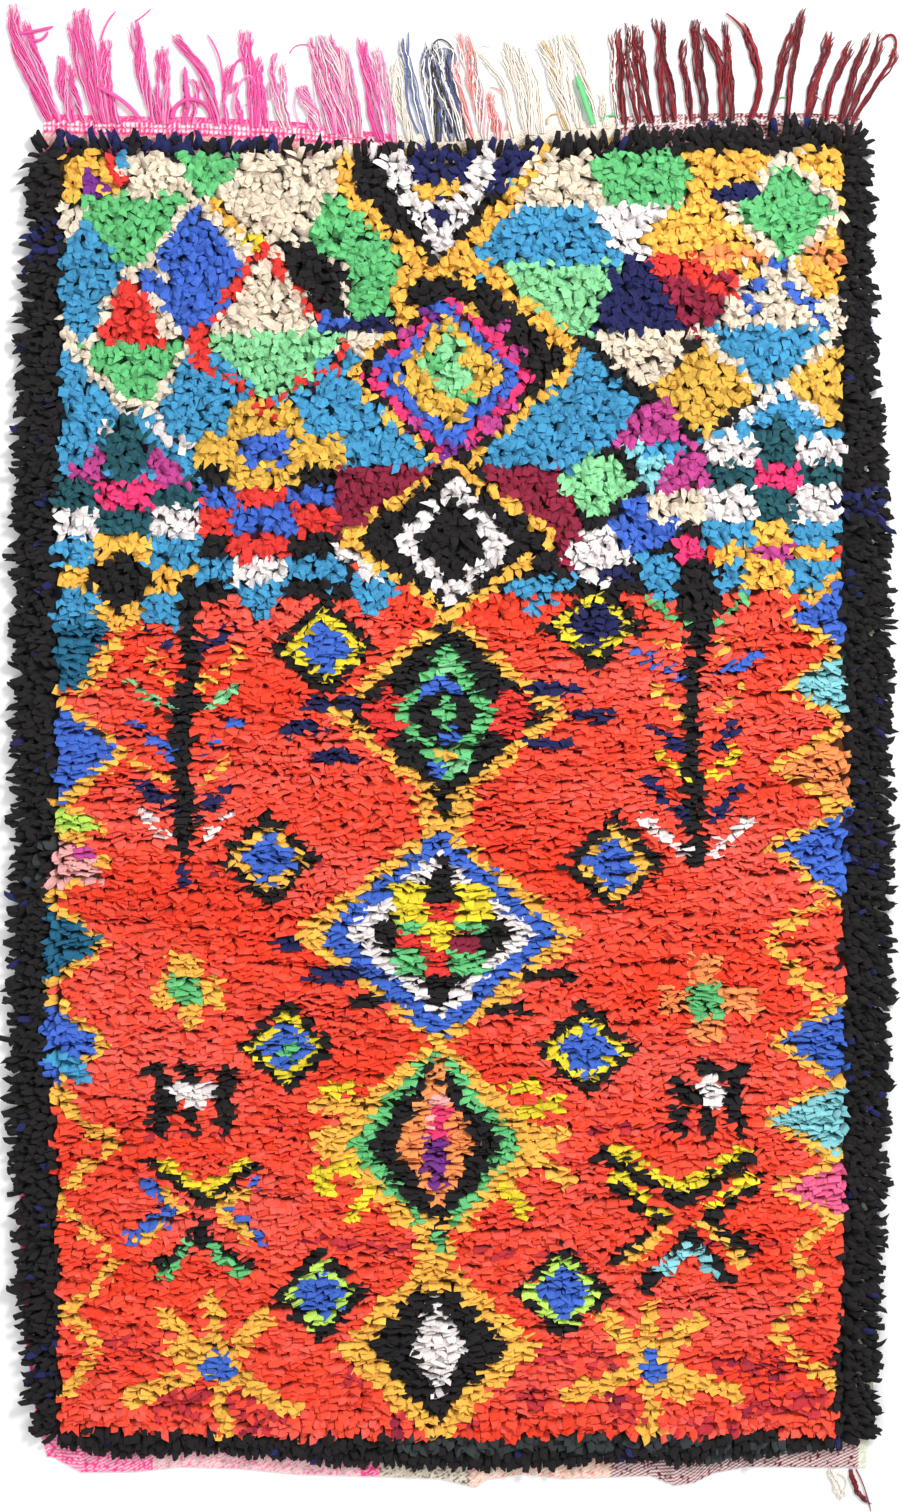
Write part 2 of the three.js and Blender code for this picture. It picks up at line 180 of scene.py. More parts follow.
def closed_slab(name, top, floor_height):
    """A slab whose top is a grid of points (rows, columns, 3), with plain walls and underside"""
    rows, columns, _ = top.shape
    index = np.arange(rows * columns).reshape(rows, columns)
    faces = np.stack([index[:-1, :-1], index[:-1, 1:], index[1:, 1:], index[1:, :-1]], -1)
    rim = np.concatenate([index[0, :-1], index[:-1, -1], index[-1, :0:-1], index[:0:-1, 0]])
    under = top.reshape(-1, 3)[rim].copy()
    under[:, 2] = floor_height
    base = rows * columns + np.arange(len(rim))
    walls = np.stack([np.roll(rim, -1), rim, base, np.roll(base, -1)], -1)
    mesh = bpy.data.meshes.new(name)
    points = np.concatenate([top.reshape(-1, 3), under])
    polygons = faces.reshape(-1, 4).tolist() + walls.tolist() + [base[::-1].tolist()]
    mesh.from_pydata(points.tolist(), [], polygons)
    return mesh


def give_colours(mesh, colours):
    """One linear colour for each point; points past the end of the list take the mean colour"""
    values = np.ones((len(mesh.vertices), 4))
    values[: len(colours), :3] = colours
    values[len(colours):, :3] = colours.mean(axis=0)
    layer = mesh.attributes.new("colour", "FLOAT_COLOR", "POINT")
    layer.data.foreach_set("color", values.ravel())


def place_piece(name, mesh, material, slot, *nodes):
    """A finished piece: it rides on the rug's one body and stands for these CAD nodes"""
    mesh.materials.clear()
    mesh.materials.append(material)
    mesh.validate()
    piece = put_in_scene(name, mesh)
    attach(piece, "root")
    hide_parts(*nodes)
    return piece


def add_node(tree, kind, inputs=None, **settings):
    """A new node of a tree, with its settings and its inputs"""
    node = tree.nodes.new(kind)
    for name, value in settings.items():
        setattr(node, name, value)
    return set_inputs(tree, node, inputs or {})


def crumple_group():
    """Soft creases and fibre, as a height for bump and a factor for colour that paints shade into the
    creases' hollows and light onto their rises
    """
    group = bpy.data.node_groups.new("cloth_crumple", "ShaderNodeTree")
    for name in ("Crease scale", "Fibre scale", "Fibre share"):
        group.interface.new_socket(name, in_out="INPUT", socket_type="NodeSocketFloat")
    for name in ("Height", "Shade"):
        group.interface.new_socket(name, in_out="OUTPUT", socket_type="NodeSocketFloat")
    asked = add_node(group, "NodeGroupInput").outputs
    place = add_node(group, "ShaderNodeTexCoord").outputs["Object"]
    crease = add_node(group, "ShaderNodeTexNoise", {
        "Vector": place, "Scale": asked["Crease scale"], "Detail": 2, "Distortion": 0.6,
    })
    fibre = add_node(group, "ShaderNodeTexNoise", {
        "Vector": place, "Scale": asked["Fibre scale"], "Detail": 1,
    })
    blend = add_node(group, "ShaderNodeMix", {
        "Factor": asked["Fibre share"], 2: crease.outputs["Fac"], 3: fibre.outputs["Fac"],
    })
    # Painted shade and light: the crease noise, with the fibre's own tone mixed in, also darkens the colour
    # in its hollows and lightens it on its rises
    shade = add_node(group, "ShaderNodeMapRange", {
        "Value": blend.outputs[0], "From Min": 0.3, "From Max": 0.7, "To Min": 0.84, "To Max": 1.1,
    })
    add_node(group, "NodeGroupOutput", {"Height": blend.outputs[0], "Shade": shade.outputs["Result"]})
    return group


crumple = crumple_group()


def cloth_material(
    name, crease_scale, fibre_scale, fibre_share, bump_distance, roughness, sheen, root_shade=1,
):
    """Dyed cloth: the point colours, bumped by the crumple and carrying its painted crease shade and light,
    and darker towards a root as painted shade
    """
    material = bpy.data.materials.new(name)
    material.use_nodes = True
    tree = material.node_tree
    creased = add_node(tree, "ShaderNodeGroup", {
        "Crease scale": crease_scale, "Fibre scale": fibre_scale, "Fibre share": fibre_share,
    }, node_tree=crumple)
    shade = creased.outputs["Shade"]
    # Painted shade: the colour darkens towards a strip's root, where the strips shade one another
    if root_shade < 1:
        along = add_node(tree, "ShaderNodeAttribute", attribute_name="along")
        rooted = add_node(tree, "ShaderNodeMapRange", {
            "Value": along.outputs["Fac"], "From Min": 0.15, "From Max": 0.6, "To Min": root_shade,
        })
        both = {0: shade, 1: rooted.outputs["Result"]}
        shade = add_node(tree, "ShaderNodeMath", both, operation="MULTIPLY").outputs[0]
    dyed = add_node(tree, "ShaderNodeAttribute", attribute_name="colour")
    both = {0: dyed.outputs["Color"], "Scale": shade}
    shaded = add_node(tree, "ShaderNodeVectorMath", both, operation="SCALE")
    bump = add_node(tree, "ShaderNodeBump", {
        "Height": creased.outputs["Height"], "Strength": 0.8, "Distance": bump_distance,
    })
    set_inputs(tree, tree.nodes["Principled BSDF"], {
        "Base Color": shaded.outputs["Vector"], "Normal": bump.outputs["Normal"], "Roughness": roughness,
        "Specular IOR Level": 0.25, "Sheen Weight": sheen, "Sheen Roughness": 0.6,
    })
    return material


woven = cloth_material(
    "woven_ground", crease_scale=420, fibre_scale=1900, fibre_share=0.5, bump_distance=0.5 * MM,
    roughness=0.95, sheen=0.1,
)

# from, to: the warp zones across the cloth in millimetres, each with its warp, weft and flecks,
# and the flecks' share
WARP_ZONES = [
    (-720, -478, dye(255, 92, 160), dye(252, 206, 218), dye(255, 62, 140), 0.25),
    (-478, -146, dye(248, 184, 194), dye(253, 226, 220), dye(250, 120, 166), 0.2),
    (-146, -114, dye(255, 92, 156), dye(246, 196, 208), dye(255, 62, 140), 0.4),
    (-114, 30, dye(222, 206, 184), dye(240, 228, 210), dye(104, 92, 84), 0.2),
    (30, 254, dye(242, 196, 178), dye(252, 236, 220), dye(238, 136, 122), 0.15),
    (254, 652, dye(128, 28, 40), dye(244, 228, 226), dye(90, 18, 30), 0.12),
    (652, 720, dye(230, 228, 206), dye(212, 226, 192), dye(242, 238, 228), 0.3),
]


def warp_colours(x, weft_shows, random):
    """The colour of each point of a plain weave, where warp and weft show in turn"""
    colours = np.empty(x.shape + (3,))
    for left, right, warp, weft, fleck, share in WARP_ZONES:
        zone = (x >= left * MM) & (x < right * MM)
        flecked = random.random(x.shape) < share
        shown = np.where(weft_shows[..., None], weft, warp)
        colours[zone] = np.where(flecked[..., None], fleck, shown)[zone]
    return colours * random.uniform(0.88, 1.05, x.shape)[..., None]


# The lower end is a fine grid with its wefts in relief. The rest, below the pile, is a coarse one
random = np.random.default_rng(3)
across = np.linspace(0, 1, WEAVE_COLUMNS)
nominal_x = (across - 0.5) * WEAVE_WIDTH
low = column(WEAVE_LOWER_END, nominal_x, 1)
high = column(END_BAND, nominal_x, 1)
end_steps = np.linspace(0, END_DEPTH, END_ROWS)
weave_rows = []
for row in range(END_ROWS + WEAVE_ROWS):
    if row < END_ROWS:
        y = low + end_steps[row]
    else:
        share = (row - END_ROWS + 1) / WEAVE_ROWS
        y = low + END_DEPTH + share * (high - low - END_DEPTH)
    left = column(WEAVE_SIDES, y, 1)
    right = column(WEAVE_SIDES, y, 2)
    x = left + across * (right - left)
    relief = WEFT_RELIEF * np.sin(2 * math.pi * (y / WEFT_PITCH + np.arange(WEAVE_COLUMNS) / 2))
    weave_rows.append(np.stack([x, y, WEAVE_THICK + relief * (row < END_ROWS)], -1))
weave_top = np.array(weave_rows)
weave_mesh = closed_slab("ground_weave_cloth", weave_top + (MIDDLE_X, MIDDLE_Y, 0), 0)
row, spot = np.indices(weave_top.shape[:2])
weave_colours = warp_colours(weave_top[..., 0], (row + spot // 2) % 2 == 0, random)
give_colours(weave_mesh, weave_colours.reshape(-1, 3))
ground = place_piece("ground_weave_cloth", weave_mesh, woven, "ground_weave", "ground_weave")


# The pattern is knotted row by row in strips of torn clothing. It is charted here in fingers,
# a finger being 16 mm, across from the left and down from the top of a box round the rug and
# its fringe. Motifs are the common lozenges, chequers, saw teeth, trees and stars of such rugs.
FINGER = 16 * MM
CHART_MIDDLE_X = 45.1
CHART_MIDDLE_Y = 80
CHART_WOBBLE = 0.2
KNOT_COLUMNS = 112
KNOT_ROWS = 176
KNOT_JITTER = 0.12
END_SPREAD = 0.22
ROW_SHIFT = 0.25
ROW_WAVE = 2.6 * MM
SIDE_INSET = 8 * MM
LOWER_INSET = 19 * MM
UPPER_INSET = 12 * MM
RIM_DEPTH = 22 * MM
SHOWN_FROM_ROOT = 13 * MM

RAGS = {
    "red": dye(255, 80, 56),
    "coral": dye(255, 94, 78),
    "vermilion": dye(252, 66, 38),
    "scarlet": dye(236, 60, 52),
    "burgundy": dye(146, 34, 62),
    "crimson": dye(198, 50, 60),
    "amber": dye(252, 190, 78),
    "mustard": dye(232, 184, 76),
    "yellow": dye(240, 218, 50),
    "lime": dye(196, 236, 96),
    "orange": dye(255, 154, 88),
    "green": dye(104, 198, 124),
    "mint": dye(142, 218, 156),
    "aqua": dye(138, 210, 218),
    "sky": dye(70, 156, 202),
    "teal_blue": dye(34, 106, 140),
    "dark_teal": dye(36, 88, 98),
    "royal": dye(66, 108, 206),
    "navy": dye(32, 36, 88),
    "purple": dye(124, 50, 146),
    "magenta": dye(198, 70, 148),
    "hot_pink": dye(252, 60, 124),
    "rose": dye(238, 100, 146),
    "pale_pink": dye(244, 176, 172),
    "cream": dye(234, 218, 196),
    "white": dye(242, 234, 232),
    "charcoal": dye(52, 58, 60),
    "black": dye(28, 25, 27),
}
RAG_NAMES = list(RAGS)

# at, left, right: the pile's sides up its length, then at, lower, upper: its ends across it
PILE_SIDES = np.array([
    (-1034, -658, 667), (-800, -682, 676), (-480, -696, 688), (-160, -690, 691),
    (160, -686, 694), (480, -686, 686), (800, -674, 664), (1056, -661, 658),
]) * MM
PILE_ENDS = np.array([
    (-658, -1026, 1056), (-530, -1048, 1054), (-402, -1042, 1051), (-210, -1062, 1040),
    (0, -1067, 1038), (206, -1062, 1046), (398, -1058, 1068), (558, -1042, 1075),
    (660, -1034, 1071),
]) * MM


def drift(x, y, length, random):
    """Slow, soft variation over the rug, about -1 to 1"""
    total = 0
    for _ in range(6):
        turn, start = random.uniform(0, 2 * math.pi, 2)
        size = length * random.uniform(0.6, 1.6)
        total = total + np.sin(2 * math.pi * (x * math.cos(turn) + y * math.sin(turn)) / size + start)
    return total / 3


# Where the two ends of each knot stand, from the pile's middle. Every other row is shifted
# sideways, and inside the rug the rows wave a little.
random = np.random.default_rng(11)
end, row, spot = np.meshgrid(range(2), range(KNOT_ROWS), range(KNOT_COLUMNS), indexing="ij")
side = 2 * end - 1
spot = spot + ROW_SHIFT * (row % 2) - 0.12 + END_SPREAD * side + random.normal(0, KNOT_JITTER, row.shape)
across = np.clip(spot / (KNOT_COLUMNS - 1), 0, 1)
up = np.clip((row - ROW_SHIFT * side + random.normal(0, KNOT_JITTER, row.shape)) / (KNOT_ROWS - 1), 0, 1)
nominal_y = PILE_SIDES[0, 0] + up * (PILE_SIDES[-1, 0] - PILE_SIDES[0, 0])
left = column(PILE_SIDES, nominal_y, 1) + SIDE_INSET
right = column(PILE_SIDES, nominal_y, 2) - SIDE_INSET
knot_x = left + across * (right - left)
lower = column(PILE_ENDS, knot_x, 1) + LOWER_INSET
upper = column(PILE_ENDS, knot_x, 2) - UPPER_INSET
knot_y = lower + up * (upper - lower)
inside = np.clip(1 - 2 * abs(up - 0.5), 0, 0.2) * 5
knot_y = knot_y + inside * ROW_WAVE * np.sin(knot_x / 0.11 + 2 * np.sin(knot_y / 0.17))

# How near each end is to each rim, from 0 to 1
near_left, near_right, near_lower, near_upper = (
    np.clip(1 - distance / RIM_DEPTH, 0, 1)
    for distance in (knot_x - left, right - knot_x, knot_y - lower, upper - knot_y)
)

# Heading: 0 leans towards the lower end, a quarter turn to the right. In the patchwork the
# strips fan out every way. In the side borders and at the rim they are narrow and lean outwards.
PATCHWORK_FROM = 0.26
PATCHWORK_BLEND = 0.14
BORDER_FROM = 0.612
BORDER_BLEND = 0.02
FIELD_FAN = 11
PATCHWORK_FAN = 46
FAN_DRIFT = 8
TURNED_BACK = 0.04
PATCHWORK_TURNED_BACK = 0.33
SIDE_HEADING = math.radians(76)
patchwork = np.clip((knot_y - PATCHWORK_FROM) / PATCHWORK_BLEND, 0, 1)
in_border = np.clip((abs(knot_x) - BORDER_FROM) / BORDER_BLEND, 0, 1)
fan = FIELD_FAN + PATCHWORK_FAN * patchwork + FAN_DRIFT * drift(knot_x, knot_y, 0.5, random)
heading = random.normal(0, 1, row.shape) * np.clip(math.radians(1) * fan, 0.1, 1.4) * (1 + 0.5 * end)
heading = heading + 0.5 * patchwork * drift(knot_x, knot_y, 0.3, random)
back_share = TURNED_BACK + PATCHWORK_TURNED_BACK * patchwork
turned_back = (end == 1) & (random.random(row.shape) < back_share)
heading = np.where(turned_back, heading + math.pi, heading)
heading = heading * (1 - 0.7 * near_lower)
outward = SIDE_HEADING * np.sign(knot_x) + random.normal(0, 0.42, row.shape)
heading = np.where(in_border > 0.5, outward, heading)
at_top = (near_upper > 0.5) & (end == 0)
heading = np.where(at_top, math.pi + random.normal(0, 0.5, row.shape), heading)

# In the field the strips stand close and upright, and elsewhere they droop. Some rows lie
# flatter and part from the next in a crease, and the lowest rows hang flat. The pile is lumpy,
# as the CAD slab is, and the second end of a knot is shorter.
HANGING_BELOW = -0.93
LUMP_LENGTH = 88 * MM
LUMP_WAVES = [(0.21, 0.92, 0), (-0.74, 0.31, 1.3), (0.63, 0.58, 2.1)]
wave = np.sin(knot_x / 0.06 + 40 * np.sin(row * 12.9)) * np.sin(knot_x / 0.17 + 30 * np.sin(row * 4.1))
rim = np.maximum.reduce([near_left, near_right, near_lower, 0.8 * near_upper])
hanging = np.clip((HANGING_BELOW - knot_y) / 0.07, 0, 1)
standing = np.clip(1 - patchwork - in_border - 2 * rim - 0.8 * hanging, 0, 1)
droop = 0.2 * wave + 0.36 * rim - (0.42 - 0.1 * wave) * standing
broad = 0.76 + 0.44 * standing - 0.16 * np.maximum(in_border, rim)
broad = broad * random.uniform(0.75, 1.25, row.shape)
lump = sum(
    np.sin(2 * math.pi * (across_wave * knot_x + along_wave * knot_y) / LUMP_LENGTH + start)
    for across_wave, along_wave, start in LUMP_WAVES
) / 3
reach = (1 + 0.12 * lump) * (1 - 0.14 * end) * (1 - 0.12 * (wave < -0.45)) * (1 - 0.15 * near_lower)
reach = reach * (1.08 - 0.24 * standing + 0.08 * rim * random.normal(0, 1, row.shape))

wobble = random.uniform(-CHART_WOBBLE, CHART_WOBBLE, (2,) + row.shape)
shown = SHOWN_FROM_ROOT * reach * (1 - 0.45 * standing)
shown_x = knot_x + shown * np.sin(heading)
shown_y = knot_y - shown * np.cos(heading)
chart_x = shown_x / FINGER + CHART_MIDDLE_X + wobble[0]
chart_y = CHART_MIDDLE_Y - shown_y / FINGER + wobble[1]
chart = np.full(row.shape, RAG_NAMES.index("red"))


def knot(where, rag):
    chart[where] = RAG_NAMES.index(rag)


def lozenge(x, y, half_wide, half_high, rag):
    knot(abs(chart_x - x) / half_wide + abs(chart_y - y) / half_high < 1, rag)


def block(left, right, top, bottom, rag):
    knot((chart_x > left) & (chart_x < right) & (chart_y > top) & (chart_y < bottom), rag)


def wedge(top, left, right, bottom, left_below, right_below, rag):
    """A patch with level top and bottom and straight sloping sides"""
    share = (chart_y - top) / (bottom - top)
    past_left = chart_x > left + share * (left_below - left)
    short_of_right = chart_x < right + share * (right_below - right)
    knot(past_left & short_of_right & (share > 0) & (share < 1), rag)


def line(x1, y1, x2, y2, width, rag, kept=1.0):
    """A stripe of knots from one place to another; kept is the share of them that is tied"""
    along = np.array([x2 - x1, y2 - y1])
    share = ((chart_x - x1) * along[0] + (chart_y - y1) * along[1]) / (along @ along)
    share = np.clip(share, 0, 1)
    away = np.hypot(chart_x - x1 - share * along[0], chart_y - y1 - share * along[1])
    knot((away < width / 2) & (random.random(chart.shape) < kept), rag)


def tie_lines(stripes):
    for stripe in stripes:
        line(*stripe)


def course(top, bottom, edges, rags):
    """One row of a chequer: blocks side by side between these edges"""
    for left, right, rag in zip(edges, edges[1:], rags):
        block(left, right, top, bottom, rag)


# The grounds that the upper motifs are set on
for left, right, top, bottom, rag in [
    (4, 41, 13, 36, "cream"), (4, 44, 35.5, 47.6, "sky"), (52, 86, 13, 28, "cream"),
    (46, 71, 28, 60, "black"), (55, 86, 28, 44, "black"), (69, 86, 24, 34, "cream"),
    (4, 20.2, 47, 62, "sky"), (20.2, 35, 46.3, 60, "black"), (38.8, 46.2, 21, 34, "black"),
    (46.2, 53, 18, 28.2, "sky"),
]:
    block(left, right, top, bottom, rag)

# Patchwork of the upper left
block(6.2, 11.8, 14, 20.2, "amber")
line(9, 18.2, 10, 20, 1.6, "purple")
line(10.8, 15.6, 12, 18.4, 0.9, "scarlet")
line(12, 15.5, 12.4, 16.4, 0.9, "sky")
wedge(13.4, 16.4, 26, 19.8, 20, 21.2, "green")
line(21.6, 20.4, 23.8, 22.8, 1.1, "amber")
wedge(19.8, 7.2, 18.8, 26.6, 11.6, 14.6, "green")
lozenge(8.6, 28.4, 4.9, 6.4, "sky")
lozenge(19.7, 27.8, 5.9, 7.0, "royal")
line(15.2, 26.2, 17, 28, 1.0, "cream")
wedge(24.9, 26.2, 26.8, 33.8, 21.2, 34.2, "cream")
line(26.4, 24.7, 19.4, 35.2, 1.1, "scarlet", 0.75)
line(26.4, 24.7, 34.2, 34.6, 1.0, "scarlet", 0.7)
line(25, 24.4, 25.8, 24.6, 1.1, "yellow")
wedge(24.4, 27.6, 30.2, 27.2, 28.8, 34.6, "black")
wedge(27.2, 28.8, 34.6, 32, 32.4, 34.6, "black")
line(32.4, 32.3, 39, 32.6, 1.8, "navy")
line(33, 32.2, 34.2, 32.4, 1.2, "royal")
wedge(19.8, 32.6, 35.2, 24.6, 30.3, 38.6, "green")
wedge(24.6, 30.3, 38.6, 27, 34.8, 40.8, "green")
wedge(27, 34.8, 40.8, 31.8, 35.2, 39.2, "green")
wedge(27.6, 12.2, 13.2, 35.2, 8, 19, "cream")
wedge(28, 12.4, 13.4, 34.8, 9.4, 17.2, "scarlet")
wedge(34.6, 6.6, 19.4, 41.4, 11.8, 15.8, "cream")
wedge(34.6, 8, 18.6, 40.2, 12.8, 15, "green")
wedge(33.4, 20.2, 34.5, 39.9, 26.4, 29, "mint")
line(20.2, 36.6, 26.6, 40.2, 1.0, "scarlet", 0.7)
line(34, 36, 28.6, 40, 1.0, "scarlet", 0.7)
line(19.9, 33.4, 20.2, 36.4, 1.9, "scarlet")
for x, y in [(10.6, 43.2), (15.8, 42.2), (18.6, 44.6), (12.4, 41.3), (16.4, 43.6)]:
    line(x, y, x + 0.5, y + 0.4, 1.2, "white")

# The half lozenge at the head of the spine
wedge(14.6, 35, 53.6, 20, 35.8, 50, "black")
wedge(20, 35.8, 50, 27.6, 43.6, 44.8, "black")
wedge(15, 36.8, 51, 26, 43.8, 44.3, "white")
wedge(15, 40.6, 47.8, 22.8, 43.8, 44.6, "navy")
wedge(14.6, 50.2, 53.4, 19.4, 48.6, 50.6, "navy")
line(42.4, 19.2, 45.6, 19, 1.6, "amber")
line(40.2, 20.4, 45.4, 20.6, 0.8, "white")
line(34.2, 16.4, 34.8, 19.4, 1.7, "amber")
line(35, 19.8, 44, 28.4, 1.6, "amber")
line(54.8, 16, 44, 28, 1.7, "amber")

# Patchwork of the upper right
wedge(14.4, 55.4, 59.6, 21.8, 50.6, 59.4, "cream")
block(68.2, 85, 13.8, 20, "amber")
block(78.6, 85.4, 21.4, 29.8, "amber")
line(80, 25, 84, 26.6, 1.8, "orange")
wedge(13.8, 59.8, 67.6, 17.6, 59.2, 69, "green")
wedge(17.6, 59.2, 69, 21.2, 60.8, 67, "green")
wedge(20.6, 59.4, 66.6, 23.4, 59, 66.8, "white")
wedge(23.4, 59, 66.8, 26.2, 62.2, 65.2, "white")
wedge(20.8, 52, 59.2, 27.1, 47, 62.3, "sky")
wedge(26.6, 48.2, 62.2, 33.8, 55.6, 58.8, "mint")
wedge(25.6, 62.4, 65.8, 33.6, 58.6, 69.2, "navy")
wedge(33.2, 58.8, 69.2, 38.6, 63.4, 66.4, "cream")
lozenge(70, 24, 6.2, 5, "amber")
wedge(25.6, 64.8, 73.8, 28.6, 65.6, 73.6, "scarlet")
wedge(27.9, 65.4, 73.2, 33.6, 69, 70.6, "burgundy")
line(70.6, 28.4, 73.2, 29.2, 1.4, "scarlet")
line(71.4, 26.8, 75.2, 27, 1.2, "amber")
line(69.6, 25.8, 75.8, 25.4, 1.2, "orange")
lozenge(78.5, 21.2, 6.6, 6.2, "cream")
lozenge(78.5, 21.2, 5.0, 5.0, "green")
line(71.8, 19.8, 75, 19.2, 1.5, "navy")
line(77.6, 14.6, 80, 14.8, 1.3, "cream")
wedge(25.8, 76.8, 78.6, 33.2, 71.6, 84.4, "cream")
for x, y in [(77.2, 26.4), (75.6, 28.3), (74.3, 30.3), (78.9, 28.9), (80.2, 30.5), (81.8, 32)]:
    line(x, y, x + 0.6, y + 0.4, 1.1, "royal")
wedge(32.8, 69.2, 84.6, 39.8, 75.4, 78.2, "cream")
wedge(32.8, 70.8, 83.2, 38.8, 75.6, 77.8, "sky")
lozenge(70.3, 39, 5.4, 4.6, "mustard")
wedge(34.6, 83.4, 84.6, 38.8, 77.6, 84.8, "mustard")
wedge(38.8, 77.6, 84.8, 43.4, 83.2, 84.8, "mustard")
wedge(34.6, 57.4, 58.6, 41, 51.4, 64.4, "sky")
wedge(41, 51.4, 64.4, 47.4, 47.6, 58.2, "sky")
wedge(40.2, 64.2, 67, 44.9, 60.6, 69.6, "magenta")
wedge(44.4, 61.8, 68.8, 48.8, 64.4, 65.8, "aqua")
line(64.4, 45, 67.6, 45, 1.2, "sky")
wedge(45.3, 67.6, 70.6, 48.9, 65.6, 71, "magenta")
lozenge(78.1, 43.6, 6.5, 5.5, "white")
lozenge(78.2, 43.8, 5.4, 4.6, "sky")
lozenge(77.6, 44.4, 3, 3.2, "dark_teal")
block(69.8, 72.4, 43.6, 45, "sky")
block(81.4, 84.6, 43.2, 45.4, "sky")
wedge(46.8, 47.8, 56.4, 54, 53.4, 58.4, "burgundy")
line(56, 54, 57.4, 57, 1.6, "burgundy")
lozenge(59.6, 48.5, 4, 3.8, "mint")
lozenge(64.1, 52.6, 4, 3.6, "royal")
lozenge(59.8, 55.8, 3.6, 3.6, "white")
line(60.6, 57.4, 63.4, 57.8, 1.3, "navy")
wedge(53.3, 67.2, 69, 57.4, 68, 70.8, "hot_pink")

# Chequers of the right, then of the left, from top to bottom
for top, bottom, edges, rags in [
    (43.8, 46.4, [70.4, 75.4, 79.8, 84.2], ["white", "dark_teal", "white"]),
    (46.4, 48.9, [70.6, 75.4, 80.2, 84.6], ["dark_teal", "hot_pink", "dark_teal"]),
    (48.9, 52.2, [65, 70.4, 75.6, 79.4, 84], ["cream", "white", "dark_teal", "white"]),
    (52.2, 54.6, [70.2, 75.2, 79, 83.8], ["sky", "amber", "sky"]),
    (54.6, 56.3, [71.6, 75.4, 79, 83], ["amber", "magenta", "amber"]),
    (56.3, 59.4, [71.4, 74.4, 78.8, 84], ["sky", "amber", "sky"]),
    (47.9, 50.9, [5.4, 9.7, 15.4, 20.1], ["dark_teal", "hot_pink", "dark_teal"]),
    (50.9, 53.8, [4.8, 9.9, 15, 20.3], ["white", "dark_teal", "white"]),
    (53.8, 56.8, [5, 9.7, 15, 20.2], ["sky", "amber", "sky"]),
    (56.8, 59.2, [5.4, 9.4, 15, 19.8], ["amber", "black", "amber"]),
    (59.2, 62.5, [4.6, 9.6, 14.4, 19.2], ["sky", "amber", "sky"]),
    (40.4, 43.6, [23, 30.2], ["mustard"]),
    (43.6, 46.6, [19.6, 24.2, 29, 34.4], ["mustard", "royal", "mustard"]),
    (46.6, 49, [20, 23, 29.6, 34], ["black", "mustard", "black"]),
    (49, 50.7, [20, 23.8, 28.8, 34], ["royal", "scarlet", "royal"]),
    (50.7, 53.5, [20.2, 23.4, 29.4, 33.8], ["scarlet", "royal", "scarlet"]),
    (53.5, 55.9, [20.1, 23, 28.9, 34.4], ["black", "scarlet", "black"]),
    (55.9, 58.3, [19.6, 23, 28.6, 34.4], ["sky", "white", "sky"]),
]:
    course(top, bottom, edges, rags)
lozenge(12.6, 45, 3.2, 4.2, "dark_teal")
wedge(44.6, 9.8, 10.6, 48, 6.4, 10.2, "magenta")
wedge(44.8, 15.2, 16, 48.6, 15.4, 19.6, "magenta")
lozenge(12.2, 58.3, 3.6, 2.9, "black")
wedge(62.5, 4.6, 11.2, 69, 4.6, 8, "teal_blue")
line(12.4, 63, 8.6, 68.8, 1.1, "amber")
line(26, 40.6, 27.6, 41, 1.1, "scarlet", 0.8)
wedge(46.9, 33.4, 44, 54, 33.6, 36, "burgundy")
block(18.6, 22.8, 58.3, 62, "black")
line(29.8, 58.8, 34.6, 59.6, 1.5, "black")
line(34.2, 55, 38.8, 57.6, 2.2, "white")

# The red field starts below the patchwork, with a few blue scraps left in its edge
wedge(60, 19.6, 70, 64, 19.6, 70, "red")
block(41, 71, 59.4, 64, "red")
line(51.4, 58.8, 56.8, 58.4, 1.4, "sky")
line(53, 60.6, 55, 60, 1.5, "sky")
wedge(55.4, 63, 67, 60, 65.6, 68.6, "sky")
wedge(58.3, 22.6, 29, 61.9, 25.4, 26.8, "sky")
wedge(57.8, 34.8, 40.4, 61.8, 36.6, 37.8, "sky")

# The spine: lozenges one in another, each ring tied in its own rag
for x, y, half_wide, half_high, rag in [
    (45.5, 37.6, 11.3, 10.6, "amber"), (45.4, 37.6, 10.0, 9.8, "black"),
    (45.1, 37.9, 8.7, 8.6, "hot_pink"), (45.1, 37.9, 7.4, 7.3, "royal"),
    (44.8, 37.4, 5.7, 5.7, "mustard"), (45.1, 36.6, 3.2, 3.8, "mint"),
    (45, 54, 11.4, 8.2, "amber"), (45, 54, 9.6, 7.2, "black"), (45.4, 54.3, 6.2, 6.4, "white"),
    (45.2, 54.2, 3.9, 4.4, "black"),
    (44.8, 71.3, 12.0, 10.4, "amber"), (44.8, 71.3, 10.1, 8.9, "black"),
    (38.9, 71.6, 2.8, 3.1, "scarlet"), (51, 71.4, 2.9, 3.1, "scarlet"),
    (44.7, 71.5, 5.2, 7.2, "green"), (44.6, 71.4, 3.8, 4.4, "black"),
    (44.6, 71.4, 1.2, 1.8, "green"),
    (44, 93.4, 14.6, 11.6, "amber"), (44, 93.4, 12.2, 10.6, "royal"),
    (44, 93.4, 9.7, 8.4, "white"), (44, 93.4, 7.3, 7, "black"), (50.7, 99.1, 1.6, 1.2, "amber"),
    (43.6, 114.2, 12.6, 10.8, "amber"), (43.6, 114.4, 8.7, 10, "green"),
    (43.6, 114.5, 7, 8.8, "black"), (43.6, 114.2, 4.2, 6.8, "orange"),
    (43.7, 134.6, 10.2, 10, "amber"), (43.7, 134.4, 7, 7.8, "black"),
    (43.8, 134.6, 2.6, 5.2, "white"),
]:
    lozenge(x, y, half_wide, half_high, rag)

